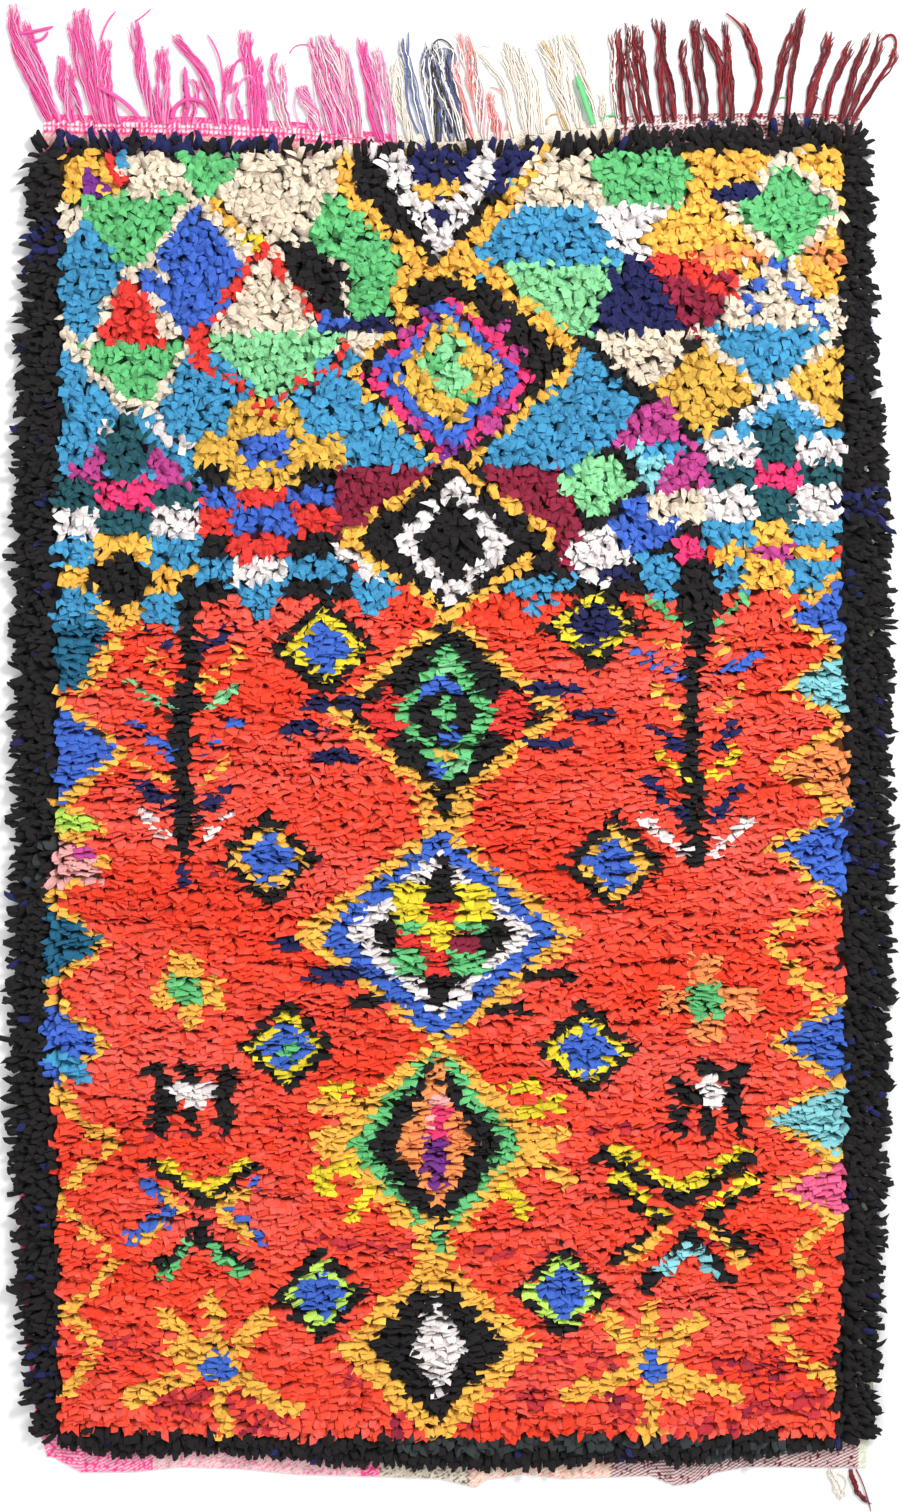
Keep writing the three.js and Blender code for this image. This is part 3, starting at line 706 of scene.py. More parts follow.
# What is tied inside and beside the spine's lozenges
tie_lines([
    (47.8, 29.6, 56.2, 37.4, 1.9, "black"), (48.3, 26.9, 57.4, 35.2, 1.6, "amber"),
    (57.2, 35.6, 56.2, 38.2, 1.4, "amber"), (45.5, 27, 48.3, 26.9, 1.8, "amber"),
    (41.8, 26.8, 39.8, 29.2, 1.5, "amber"), (39.6, 29.6, 40.4, 31.2, 1.4, "amber"),
    (41.8, 30.2, 44.6, 28.4, 1.5, "black"),
])
for x, y, rag in [
    (40.6, 33.4, "magenta"), (42.8, 31.4, "purple"), (49.6, 32.8, "magenta"), (51.6, 35.2, "magenta"),
    (48.6, 42.6, "magenta"), (41.4, 42.6, "magenta"), (44.4, 45.2, "purple"), (38.4, 36.4, "royal"),
    (46.6, 44.6, "magenta"), (50.4, 40.6, "magenta"), (43.4, 30.8, "royal"), (46.6, 31.2, "mustard"),
    (46.8, 36, "mustard"), (44.6, 38.6, "mint"), (46.4, 39.8, "green"), (43.4, 36.2, "green"),
    (44.4, 66.8, "mint"), (45, 69, "royal"), (43.6, 68.4, "royal"), (44.6, 75.6, "amber"),
    (45.4, 76.4, "mint"), (43.8, 77, "royal"), (42.6, 69, "royal"), (44.7, 73.8, "royal"),
]:
    line(x, y, x + 0.7, y, 1.3, rag)
for top, bottom, edges, rags in [
    (88.3, 90.3, [39.2, 42.6, 45.7, 49.1], ["yellow", "black", "yellow"]),
    (90.3, 91.9, [39.4, 42.6, 45.7, 49.1], ["yellow", "scarlet", "yellow"]),
    (91.9, 93.4, [39.8, 42.2, 45.8, 48.6], ["green", "yellow", "green"]),
    (93.4, 95, [39.6, 42.4, 45.2, 48.2], ["scarlet", "yellow", "burgundy"]),
    (95, 97.5, [39.8, 42.7, 45.1, 48.6], ["green", "scarlet", "green"]),
    (97.5, 100.6, [42.8, 45.3], ["black"]),
]:
    course(top, bottom, edges, rags)
tie_lines([
    (44.1, 83.8, 44.5, 87.3, 0.8, "black"), (43.9, 88.2, 44.1, 88.8, 2.8, "black"),
    (44.4, 80, 44.4, 81.6, 1.5, "black"), (42.2, 80.2, 43, 82.4, 1.6, "amber"),
    (46.8, 80.2, 46, 82.2, 1.6, "amber"), (43.2, 82.6, 45.6, 82.6, 1.2, "amber"),
    (44, 106.2, 43.6, 108.6, 1.3, "orange"), (44, 110, 43.8, 112.4, 1.8, "pale_pink"),
    (44, 111.2, 44, 113, 1.9, "hot_pink"), (43.4, 114.6, 43.6, 116, 2.6, "purple"),
    (43.8, 116.6, 43.9, 118, 1.4, "purple"), (35, 108.6, 32.4, 108.8, 1.5, "yellow"),
    (36, 110.4, 31.8, 110.4, 1.5, "amber"), (34.4, 113.6, 31.8, 113.8, 1.5, "amber"),
    (35.4, 116.4, 31.8, 117, 1.5, "yellow"), (37, 119, 35.4, 121.4, 1.5, "yellow"),
    (32.2, 118.4, 33, 118.6, 1.5, "yellow"), (51.4, 108.8, 53.2, 108.6, 1.5, "yellow"),
    (52, 111, 55.6, 110.2, 1.5, "yellow"), (52.4, 113, 56, 113.4, 1.5, "amber"),
    (53.4, 116, 56.6, 117.8, 1.5, "amber"), (50.6, 118.4, 52.2, 121, 1.5, "yellow"),
    (43.6, 122.6, 43.7, 127.6, 3.2, "amber"), (44, 121, 43.8, 123.2, 1.2, "black"),
    (44, 124, 44.2, 124.6, 1.4, "green"),
])
for x1, x2, y, rag in [
    (31.4, 35.8, 70.3, "navy"), (28.8, 32, 72.8, "navy"), (32, 35, 75.9, "navy"),
    (53.4, 57.8, 68.9, "navy"), (57.6, 60.4, 71.5, "navy"), (53.6, 57, 74.4, "navy"),
    (28.2, 29.6, 94.1, "navy"), (31.8, 35.8, 97.4, "navy"), (35.6, 37.8, 100, "black"),
    (53.1, 57, 97.4, "black"), (49.2, 52.6, 100.7, "black"),
]:
    line(x1, y, x2, y, 1.3, rag)

# Saw teeth at the borders. at, edge: the border's inner edge down the chart, on each side
LEFT_EDGE = np.array([
    (13, 6.3), (43, 6.2), (50, 5.5), (70, 5.6), (80, 5.7), (90, 4.8), (105, 4.7), (112, 5.5),
    (125, 5.9), (144, 6),
])
RIGHT_EDGE = np.array([
    (13, 84.3), (43, 84.2), (55, 83.6), (72, 84.4), (78, 84.8), (88, 84.6), (94, 83.7), (110, 84.6),
    (123, 84.3), (131, 83.7), (144, 83.1),
])
left_edge = column(LEFT_EDGE, chart_y, 1)
right_edge = column(RIGHT_EDGE, chart_y, 1)
TOOTH_EDGING = 1.3
for top, tip_y, bottom, tip_x, rag in [
    (69.8, 75.2, 80.4, 11.9, "royal"), (80.8, 82.8, 83.4, 10.4, "lime"),
    (83.6, 86.2, 89.2, 10.2, "pale_pink"), (90.4, 94.4, 98.2, 10.2, "teal_blue"),
    (100.2, 104.4, 108.8, 10.4, "royal"), (58.2, 61.8, 64.4, 79, "royal"),
    (65.6, 68.6, 71.6, 79.2, "aqua"), (73, 77, 80.8, 77.8, "orange"), (81.2, 84.8, 90.2, 77.8, "royal"),
    (100.8, 104, 108, 77.8, "royal"), (108.4, 111.8, 115.6, 76.8, "aqua"),
    (116, 118.8, 121.4, 77.8, "rose"),
]:
    at_left = tip_x < CHART_MIDDLE_X
    edge = left_edge if at_left else right_edge
    inward = 1 if at_left else -1
    for edging, cloth in ((TOOTH_EDGING, "amber"), (0, rag)):
        share = np.interp(chart_y, [top - edging, tip_y, bottom + edging], [0, 1, 0])
        depth = share * (abs(tip_x - edge) + edging)
        knot((share > 0) & (inward * (chart_x - edge) < depth), cloth)
line(7.4, 86.6, 9.6, 87.6, 1.4, "pale_pink")
line(7.6, 85, 9.4, 85.4, 1.2, "magenta")
line(6, 106, 8, 107, 2.2, "sky")
ZIGZAGS = [
    [
        (6.4, 109), (7.6, 112), (11.6, 114.4), (8.2, 117.2), (6.2, 119.8), (8.4, 122.8), (11, 124.8),
        (11.4, 126.6), (8.4, 129.6), (6.8, 131.2), (9.6, 134), (9.4, 136.2), (7.6, 138), (6.4, 139.4),
    ],
    [(82, 90.4), (78.8, 92.2), (76.8, 94.2), (78.6, 96.4), (80.4, 98), (82.6, 99.6)],
    [
        (83, 121.8), (80.6, 123.4), (79.4, 125.4), (82, 128.2), (78.8, 131), (77.6, 133.4),
        (79.4, 135.4), (82.6, 137.4), (83, 139),
    ],
]
for zigzag in ZIGZAGS:
    for (x1, y1), (x2, y2) in zip(zigzag, zigzag[1:]):
        line(x1, y1, x2, y2, 1.25, "amber", 0.85)

# Two trees: a black stem with short branches that rise to both sides
for x1, y1, x2, y2, width in [
    (18.9, 58.6, 19.2, 70.4, 2.1), (18.6, 70.4, 18.2, 76, 2.5), (18.3, 76, 18.7, 84.4, 2.0),
    (69.8, 57.6, 69.8, 64, 2.7), (69.5, 64, 69.4, 68, 1.6), (69.2, 68, 69.1, 77, 1.8),
    (69.2, 77, 69.5, 85.8, 2.1), (69.6, 58, 69.6, 60, 4.4),
]:
    line(x1, y1, x2, y2, width, "black")
for stem, low_y, high_y, left_x, right_x, width, rag in [
    (18.9, 65.2, 62.8, 15.2, 23.6, 1.3, "navy"), (18.9, 68.4, 65.6, 15.2, 24, 1.3, "amber"),
    (18.9, 71.2, 68.3, 12.9, 24.1, 1.1, "mint"), (18.9, 75.4, 72, 12.9, 23.6, 1.3, "royal"),
    (18.9, 78.4, 76.2, 13.5, 22.6, 1.4, "amber"), (18.9, 81.2, 78.6, 14.2, 22.8, 1.6, "navy"),
    (18.9, 83.8, 81.3, 14, 22.9, 1.2, "white"),
    (69.9, 62.4, 60.2, 64.6, 74.2, 1.3, "green"), (69.9, 65, 63.6, 65.2, 73.6, 1.1, "amber"),
    (69.9, 68.2, 65.4, 64.2, 75.6, 1.2, "royal"), (69.9, 71.6, 68.8, 65, 74, 1.2, "amber"),
    (69.9, 75, 72.6, 64.8, 73.2, 1.6, "navy"), (69.9, 77.4, 75.5, 66, 73.6, 1.5, "yellow"),
    (69.9, 81.6, 78.3, 65, 74, 1.6, "navy"), (69.9, 85.3, 81.8, 64.2, 74.8, 1.2, "white"),
]:
    line(stem - 1.6, low_y, left_x, high_y, 0.75 * width, rag, 0.8)
    line(stem + 1.6, low_y, right_x, high_y, 0.75 * width, rag, 0.8)
line(18.2, 86.8, 18.8, 88.2, 1.0, "navy")

# Small lozenges of the field
RING_SHARE = 0.77
CORE_SHARE = 0.56
for x, y, half_wide, half_high, ring, core in [
    (32.6, 64.8, 5.4, 5, "yellow", "royal"), (59.4, 62.7, 5.4, 4.7, "yellow", "navy"),
    (26.9, 85.9, 5.2, 5.1, "amber", "royal"), (61.4, 86.4, 5.2, 5.1, "amber", "royal"),
    (28.8, 104.7, 4.9, 4.7, "yellow", "royal"), (58.6, 104.9, 5.2, 4.9, "yellow", "royal"),
    (32.1, 129.3, 4.9, 5, "lime", "royal"), (56.3, 129, 5, 4.9, "lime", "royal"),
]:
    lozenge(x, y, half_wide, half_high, "black")
    lozenge(x, y, half_wide * RING_SHARE, half_high * RING_SHARE, ring)
    lozenge(x, y, half_wide * CORE_SHARE, half_high * CORE_SHARE, core)
line(28.4, 104.8, 29.4, 105.2, 1.4, "green")

# Two crosses, two black beasts with white bodies, and two winged figures
for left, right, top, bottom, rag in [
    (16.9, 20.3, 95.4, 100, "amber"), (15.3, 22.4, 97.5, 100.6, "amber"), (18.2, 20, 100, 103.1, "amber"),
    (17.3, 20, 97.7, 100.2, "green"),
    (68.8, 71.9, 95.1, 104, "orange"), (65.7, 76, 98.8, 101.3, "orange"), (68.8, 72, 98.5, 101.8, "green"),
]:
    block(left, right, top, bottom, rag)
tie_lines([
    (15.8, 106.8, 16.7, 109.8, 1.9, "black"), (16.7, 109.8, 16, 112.4, 2.0, "black"),
    (23.2, 106.8, 22.4, 109.8, 1.9, "black"), (22.4, 109.8, 22.8, 112.4, 1.7, "black"),
    (18.6, 107, 19.6, 108, 1.6, "black"), (19.4, 110.6, 19.2, 112.4, 1.9, "black"),
    (17.8, 109, 21, 108.9, 1.6, "white"), (19.4, 109.6, 19.7, 110, 1.4, "white"),
    (67.6, 108.4, 69.2, 109.6, 2.0, "black"), (68, 111.2, 67.8, 112.7, 1.8, "black"),
    (73.8, 107, 73.2, 110, 1.9, "black"), (73.2, 110, 73.8, 112.7, 1.7, "black"),
    (70.4, 106.8, 71.4, 107.8, 1.6, "black"), (70.8, 110.8, 70.6, 112.8, 1.6, "black"),
    (70.9, 108.7, 71.2, 109.8, 2.5, "white"),
    (15.3, 116, 20.3, 120, 1.3, "black"), (25.4, 116.3, 20.6, 120, 1.3, "black"),
    (16.6, 116, 20.5, 119, 1.0, "yellow"), (24.6, 116, 20.8, 119, 1.0, "yellow"),
    (15.2, 118.3, 17.8, 120.9, 1.2, "royal"), (17.6, 121.2, 13.4, 123.4, 1.4, "royal"),
    (16.6, 118.8, 18.6, 121, 1.1, "amber"), (25.6, 118.4, 22.6, 120.4, 1.2, "royal"),
    (24.6, 119, 21.6, 120.7, 1.2, "amber"), (22.8, 121, 26.2, 123.6, 1.4, "royal"),
    (22.4, 121.4, 25.4, 124, 1.0, "amber"), (16, 122.6, 14.4, 123.6, 1.0, "amber"),
    (20.2, 122.6, 20, 123.8, 2.0, "black"), (20, 123.4, 16.2, 126.4, 1.5, "black"),
    (20, 123.4, 24.2, 126.6, 1.5, "black"), (19.2, 124.6, 16.4, 127.4, 1.1, "green"),
    (21, 124.6, 24, 127.4, 1.1, "green"),
    (60.2, 115.4, 68.1, 119.8, 1.4, "black"), (75.2, 115.4, 68.3, 119.8, 1.4, "black"),
    (61.8, 115, 68, 118.6, 1.1, "yellow"), (74.2, 114.8, 68.6, 118.4, 1.1, "yellow"),
    (61, 118, 66.3, 121.8, 1.3, "black"), (61.6, 117.5, 66.6, 121.2, 1.0, "yellow"),
    (66, 122.2, 61.8, 125.8, 1.3, "black"), (66.4, 122.8, 62.6, 126, 1.1, "amber"),
    (75.8, 118, 71, 121.6, 1.3, "black"), (74.8, 117.5, 70.6, 120.8, 1.0, "yellow"),
    (70.8, 121.8, 75, 125.2, 1.4, "black"), (70, 122.2, 74.2, 126, 1.0, "amber"),
    (69, 123.4, 64.6, 128.4, 1.5, "black"), (69, 123.4, 72.8, 128, 1.5, "black"),
    (68.6, 124.8, 66, 127, 1.1, "aqua"), (69.4, 124.8, 71.4, 127.2, 1.1, "aqua"),
])

# Two stars of seven arms
for x, y, tips in [
    (22, 136.6, [
        (21.4, 129.6), (16.6, 131.4), (13.6, 139.4), (22.4, 142.4), (29.4, 140.6), (26.6, 131.6),
        (17.4, 134.8),
    ]),
    (65.2, 136.4, [
        (64.9, 130.6), (60.4, 131.8), (57, 139.4), (65, 143.2), (73.2, 139.2), (69.4, 131.8),
        (67.6, 139.4),
    ]),
]:
    for tip_x, tip_y in tips:
        line(x, y, tip_x, tip_y, 1.9, "amber")
    lozenge(x, y, 1.9, 2.1, "royal")

# The field's red comes from several garments, and darker strips run along some of its rows
CORAL_ABOVE = 0.45
VERMILION_BELOW = -0.75
garment = drift(shown_x, 2.4 * shown_y, 0.5, random) + 0.5 * random.normal(0, 1, chart.shape)
field = chart == RAG_NAMES.index("red")
knot(field & (garment > CORAL_ABOVE), "coral")
knot(field & (garment < VERMILION_BELOW), "vermilion")
for left, right, y, depth, share in [
    (12, 30, 112.8, 1.6, 0.3), (48, 70, 112.8, 1.6, 0.3), (30, 42, 124.4, 1.8, 0.35),
    (8, 16, 134.6, 2.4, 0.5), (46, 60, 125, 1.4, 0.3), (52, 62, 135.4, 2.2, 0.35),
    (70, 84, 136.6, 3, 0.35), (20, 34, 86.6, 2, 0.12), (60, 84, 124.4, 1, 0.2), (34, 40, 137, 3, 0.3),
    (15.5, 20.7, 140.4, 2.8, 0.75), (23, 28.8, 141, 4, 0.7), (51.7, 54.9, 139.7, 2.6, 0.7),
    (60.6, 64.1, 140.6, 3.4, 0.6), (73.9, 82.5, 140.2, 2.6, 0.7), (67.5, 73.9, 142.5, 1.8, 0.7),
    (39, 50, 142, 2.4, 0.3),
]:
    streak = (chart_x > left) & (chart_x < right) & (abs(chart_y - y) < depth / 2)
    tied = streak & field & (random.random(chart.shape) < share)
    knot(tied, "crimson")
    knot(tied & (random.random(chart.shape) < 0.15), "burgundy")

# The black border, with scraps of navy and charcoal in it
BORDER_TOP = 15.3
bottom_edge = np.interp(chart_x, [4, 8, 25, 40, 86], [142.8, 142.9, 143.4, 143.6, 143.2])
border = (chart_x < left_edge) | (chart_x > right_edge) | (chart_y > bottom_edge)
border |= chart_y < BORDER_TOP
knot(border, "black")
knot(border & (random.random(chart.shape) < 0.02), "navy")
for left, right, top, bottom, rag, share in [
    (5, 28, 12, 15, "navy", 0.6), (40, 54, 13, 16, "navy", 0.45), (3, 7, 22.5, 27, "navy", 0.45),
    (83, 88, 48.5, 52, "navy", 0.5), (40, 70, 143, 144.8, "charcoal", 0.75),
    (70, 82, 144, 146, "charcoal", 0.4), (3, 6, 84, 88, "charcoal", 0.3), (3, 6, 134, 138, "navy", 0.3),
    (83, 88, 80, 88, "navy", 0.15),
]:
    patch = (chart_x > left) & (chart_x < right) & (chart_y > top) & (chart_y < bottom)
    knot(border & patch & (random.random(chart.shape) < share), rag)


# The rag pile: each knot's two ends stand up as flat, curled strips of jersey or cotton, about
# 9 to 24 mm wide. They lean towards the lower end and hide the next row's roots. Under the
# strips the knots themselves close the ground.
BED_BASE = 3.0 * MM
BED_TOP = 9 * MM
BED_ROUGHNESS = 1.5 * MM
BED_STEP = 2
BED_SHADE = 0.35
ROOT_HEIGHT = 3.2 * MM
RAG_LENGTH = 31 * MM
RAG_WIDTH = 16 * MM
RAG_TURN = math.radians(9)
RAG_TILT = math.radians(11)
RAG_UNEVEN = 0.14
RAG_TONES = 0.085
RAG_KINDS = 16
RAG_RINGS = 4
RAG_SIDES = 3
PILE_PIECES = 5
FIRST_SEED = 7

# The shares of a strip's own cell of the UV map
CELL_MARGIN = 0.06
CELL_WIDTH = 0.74
CELL_HEIGHT = 0.86
END_PLACE = 1.1
END_RADIUS = 0.06

random = np.random.default_rng(23)
tone = random.normal(1, RAG_TONES, chart.shape) * (1 + 0.05 * drift(knot_x, knot_y, 0.25, random))
rag_colours = np.clip(np.array([RAGS[name] for name in RAG_NAMES])[chart] * tone[..., None], 0, 1)

bed_rows = np.stack([knot_x, knot_y, np.full(chart.shape, BED_TOP)], -1)[0, ::BED_STEP, ::BED_STEP]
bed_rows[..., 2] += random.uniform(-1, 1, bed_rows.shape[:2]) * BED_ROUGHNESS
rag_cloth = cloth_material(
    "rag_cloth", crease_scale=330, fibre_scale=2100, fibre_share=0.2, bump_distance=2.4 * MM,
    roughness=0.9, sheen=0.05, root_shade=0.42,
)
bed_mesh = closed_slab("pile_bed", bed_rows + (MIDDLE_X, MIDDLE_Y, 0), BED_BASE)
# Painted shade: the bed takes its knots' rag colours darkened by BED_SHADE, so the gaps between the strips
# look shadowed
give_colours(bed_mesh, BED_SHADE * rag_colours[0, ::BED_STEP, ::BED_STEP].reshape(-1, 3))
pile_bed = place_piece("pile_bed", bed_mesh, rag_cloth, "rag_pile", "pile")


def rag_strip(name, random):
    """One strip of unit size: it rises from its root, curls over and ends in a cut tip"""
    lengths = np.array([0, 0.36, 0.74, 1])
    rise = np.radians([82, random.uniform(50, 68), random.uniform(12, 38), random.uniform(-24, 8)])
    slope = (rise[1:] + rise[:-1]) / 2
    forward = np.concatenate([[0], np.cumsum(np.cos(slope) * np.diff(lengths))])
    height = np.concatenate([[0], np.cumsum(np.sin(slope) * np.diff(lengths))])
    half = np.array([0.5, 0.95, random.uniform(0.95, 1.1), random.uniform(0.65, 1.0)]) / 2
    sway = random.uniform(-0.25, 0.25) * lengths ** 2
    twist = random.uniform(-0.5, 0.5) * lengths ** 2
    fold_at = random.uniform(-0.5, 0.5)
    fold = random.choice([-1, 1]) * random.uniform(0.04, 0.085)
    slant = random.uniform(-0.3, 0.3)
    points = []
    for ring in range(RAG_RINGS):
        face_up = np.array([0, math.sin(rise[ring]), math.cos(rise[ring])])
        middle = np.array([sway[ring], -forward[ring], height[ring]])
        sideways = np.array([math.cos(twist[ring]), 0, 0]) + 0.5 * math.sin(twist[ring]) * face_up
        cut = slant * (ring == RAG_RINGS - 1)
        for share, lift in ((-1, 0), (fold_at, fold), (1, 0)):
            ahead_of_cut = np.array([0, -cut * share * half[ring], 0])
            points.append(middle + share * half[ring] * sideways + lift * face_up + ahead_of_cut)
    mesh = bpy.data.meshes.new(name)
    faces = []
    for ring in range(RAG_RINGS - 1):
        for side in range(RAG_SIDES):
            a = ring * RAG_SIDES + side
            b = ring * RAG_SIDES + (side + 1) % RAG_SIDES
            faces.append((a, a + RAG_SIDES, b + RAG_SIDES, b))
    last = (RAG_RINGS - 1) * RAG_SIDES
    faces.append((0, 1, 2))
    faces.append((last + 2, last + 1, last))
    mesh.from_pydata([tuple(p) for p in points], [], faces)
    shell = bmesh.new()
    shell.from_mesh(mesh)
    bmesh.ops.recalc_face_normals(shell, faces=shell.faces)
    shell.to_mesh(mesh)
    shell.free()
    along = np.repeat(lengths, RAG_SIDES)
    around = np.tile(np.arange(RAG_SIDES) / RAG_SIDES, RAG_RINGS)
    for layer_name, values in (("along", along), ("around", around)):
        mesh.attributes.new(layer_name, "FLOAT", "POINT").data.foreach_set("value", values)
    return mesh


def start_tree(name, **inputs):
    """A new Geometry Nodes tree, with its inputs' outlets and the inputs' identifiers"""
    tree = bpy.data.node_groups.new(name, "GeometryNodeTree")
    identifiers = {}
    for title, kind in {"Geometry": "Geometry", **inputs}.items():
        socket = tree.interface.new_socket(title, in_out="INPUT", socket_type="NodeSocket" + kind)
        identifiers[title] = socket.identifier
    tree.interface.new_socket("Geometry", in_out="OUTPUT", socket_type="NodeSocketGeometry")
    return tree, add_node(tree, "NodeGroupInput").outputs, identifiers


def end_tree(tree, geometry, cloth):
    """The end of a tree: its instances are made real, in one cloth"""
    realized = add_node(tree, "GeometryNodeRealizeInstances", {"Geometry": geometry})
    dressed = add_node(tree, "GeometryNodeSetMaterial", {"Geometry": realized.outputs[0], "Material": cloth})
    add_node(tree, "NodeGroupOutput", {"Geometry": dressed.outputs[0]})


def knotting_tree():
    """Ties one rag at each point: kind, turn, tilt and length are drawn from the seed"""
    tree, asked, identifiers = start_tree(
        "rag_knotting", Rags="Collection", Cloth="Material", Length="Float", Width="Float",
        Turn="Float", Tilt="Float", Seed="Int",
    )

    def calculate(operation, a, b):
        return add_node(tree, "ShaderNodeMath", {0: a, 1: b}, operation=operation).outputs[0]

    def drawn(low, high, seed_shift):
        """A random number for each rag"""
        limits = {2: low, 3: high, "Seed": calculate("ADD", asked["Seed"], seed_shift)}
        return add_node(tree, "FunctionNodeRandomValue", limits, data_type="FLOAT").outputs[1]

    def either_way(limit, seed_shift):
        return drawn(calculate("MULTIPLY", limit, -1), limit, seed_shift)

    def point_value(name, kind="FLOAT"):
        return add_node(tree, "GeometryNodeInputNamedAttribute", {"Name": name}, data_type=kind).outputs[0]

    spread = add_node(tree, "ShaderNodeCombineXYZ", {
        "X": either_way(asked["Tilt"], 1), "Y": either_way(asked["Tilt"], 2),
        "Z": either_way(asked["Turn"], 3),
    })
    both = {0: point_value("lean", "FLOAT_VECTOR"), 1: spread.outputs[0]}
    turned = add_node(tree, "ShaderNodeVectorMath", both)
    length = calculate("MULTIPLY", asked["Length"], drawn(1 - RAG_UNEVEN, 1 + RAG_UNEVEN, 5))
    length = calculate("MULTIPLY", length, point_value("size"))
    width = calculate("MULTIPLY", asked["Width"], point_value("broad"))
    scale = add_node(tree, "ShaderNodeCombineXYZ", {"X": width, "Y": length, "Z": length})
    rags = add_node(tree, "GeometryNodeCollectionInfo", {
        "Collection": asked["Rags"], "Separate Children": True, "Reset Children": True,
    })
    kinds = {4: 0, 5: RAG_KINDS - 1, "Seed": asked["Seed"]}
    kind = add_node(tree, "FunctionNodeRandomValue", kinds, data_type="INT")
    tied = add_node(tree, "GeometryNodeInstanceOnPoints", {
        "Points": asked["Geometry"], "Instance": rags.outputs[0], "Pick Instance": True,
        "Instance Index": kind.outputs[2], "Rotation": turned.outputs[0], "Scale": scale.outputs[0],
    })
    end_tree(tree, tied.outputs[0], asked["Cloth"])
    return tree, identifiers


def grow(name, mesh, tree, settings):
    """The plain mesh that a Geometry Nodes tree makes of a mesh"""
    grown = put_in_scene(name, mesh)
    modifier = grown.modifiers.new(name, "NODES")
    modifier.node_group = tree
    for identifier, value in settings.items():
        modifier[identifier] = value
    graph = bpy.context.evaluated_depsgraph_get()
    evaluated = grown.evaluated_get(graph)
    result = bpy.data.meshes.new_from_object(evaluated, preserve_all_data_layers=True, depsgraph=graph)
    bpy.data.objects.remove(grown)
    return result


def read_values(items, name, kind=float):
    values = np.empty(len(items), kind)
    items.foreach_get(name, values)
    return values


def range_in_faces(values, face, count):
    """How far a value between 0 and 1 goes from corner to corner of each face"""
    low, high = np.ones(count), np.zeros(count)
    np.minimum.at(low, face, values)
    np.maximum.at(high, face, values)
    return high - low


def lay_out_bake(mesh):
    """A UV map with one small cell for each strip or yarn, unrolled, and its ends beside it"""
    corners = read_values(mesh.loops, "vertex_index", int)
    totals = read_values(mesh.polygons, "loop_total", int)
    count = len(totals)
    face = np.repeat(np.arange(count), totals)
    around, along, number = (
        read_values(mesh.attributes[name].data, "value", kind)[corners]
        for name, kind in (("around", float), ("along", float), ("number", int))
    )
    ends = (range_in_faces(along, face, count) < 1e-5)[face]
    wraps = ((range_in_faces(around, face, count) > 0.5) & (totals == 4))[face]
    turn = 2 * math.pi * around
    u = np.where(wraps & (around < 0.25) & ~ends, 1.0, around)
    u = np.where(ends, END_PLACE + END_RADIUS * np.cos(turn), u)
    v = np.where(ends, 0.1 + 0.8 * along + END_RADIUS * np.sin(turn), along)
    cells = math.ceil(math.sqrt(number.max() + 1))
    u = (number % cells + CELL_MARGIN + CELL_WIDTH * u) / cells
    v = (number // cells + CELL_MARGIN + CELL_HEIGHT * v) / cells
    layer = mesh.uv_layers.new(name="OFBake")
    layer.data.foreach_set("uv", np.stack([u, v], -1).ravel())


rag_kinds = bpy.data.collections.new("rag_kinds")
bpy.context.scene.collection.children.link(rag_kinds)
for kind in range(RAG_KINDS):
    strip = rag_strip(f"rag_{kind:02d}", np.random.default_rng(100 + kind))
    rag_kinds.objects.link(bpy.data.objects.new(f"rag_{kind:02d}", strip))

lean = np.stack([droop, np.zeros(chart.shape), heading], -1)
roots = np.stack([knot_x + MIDDLE_X, knot_y + MIDDLE_Y, np.full(chart.shape, ROOT_HEIGHT)], -1)

knotting, knotting_inputs = knotting_tree()
for number, rows in enumerate(np.array_split(np.arange(KNOT_ROWS), PILE_PIECES)):
    name = f"pile_rags_{number + 1}"
    points = bpy.data.meshes.new(name + "_roots")
    points.from_pydata(roots[:, rows].reshape(-1, 3).tolist(), [], [])
    give_colours(points, rag_colours[:, rows].reshape(-1, 3))
    for title, kind, field_name, values in (
        ("lean", "FLOAT_VECTOR", "vector", lean[:, rows]), ("size", "FLOAT", "value", reach[:, rows]),
        ("broad", "FLOAT", "value", broad[:, rows]),
        ("number", "INT", "value", np.arange(len(points.vertices))),
    ):
        points.attributes.new(title, kind, "POINT").data.foreach_set(field_name, values.ravel())
    mesh = grow(name, points, knotting, {
        knotting_inputs["Rags"]: rag_kinds,
        knotting_inputs["Cloth"]: rag_cloth,
        knotting_inputs["Length"]: RAG_LENGTH,
        knotting_inputs["Width"]: RAG_WIDTH,
        knotting_inputs["Turn"]: RAG_TURN,
        knotting_inputs["Tilt"]: RAG_TILT,
        knotting_inputs["Seed"]: FIRST_SEED + number,
    })
    lay_out_bake(mesh)
    place_piece(name, mesh, rag_cloth, "rag_pile", "pile")
for rag in list(rag_kinds.objects):
    bpy.data.objects.remove(rag)
bpy.data.collections.remove(rag_kinds)


# The upper end band: a weft-faced strip in the colours of its warps, with twined rows of open
# stitches in the pink and the maroon part. It is woven in one with the ground, and the warps
# run out of it as the fringe.
BAND_STEP = 2.6 * MM
BAND_ROWS = 20
BAND_TOP = 3.4 * MM
BAND_RELIEF = 0.9 * MM
BAND_GAP = 0.3 * MM
UPPER_FROM = 0.42
TWINE_ROWS = (0.24, 0.55)
TWINE_HALF = 0.055
TWINE_PITCH = 7.4 * MM
TWINE_DEPTH = 1.4 * MM
TWINE_COLOUR = dye(250, 240, 240)

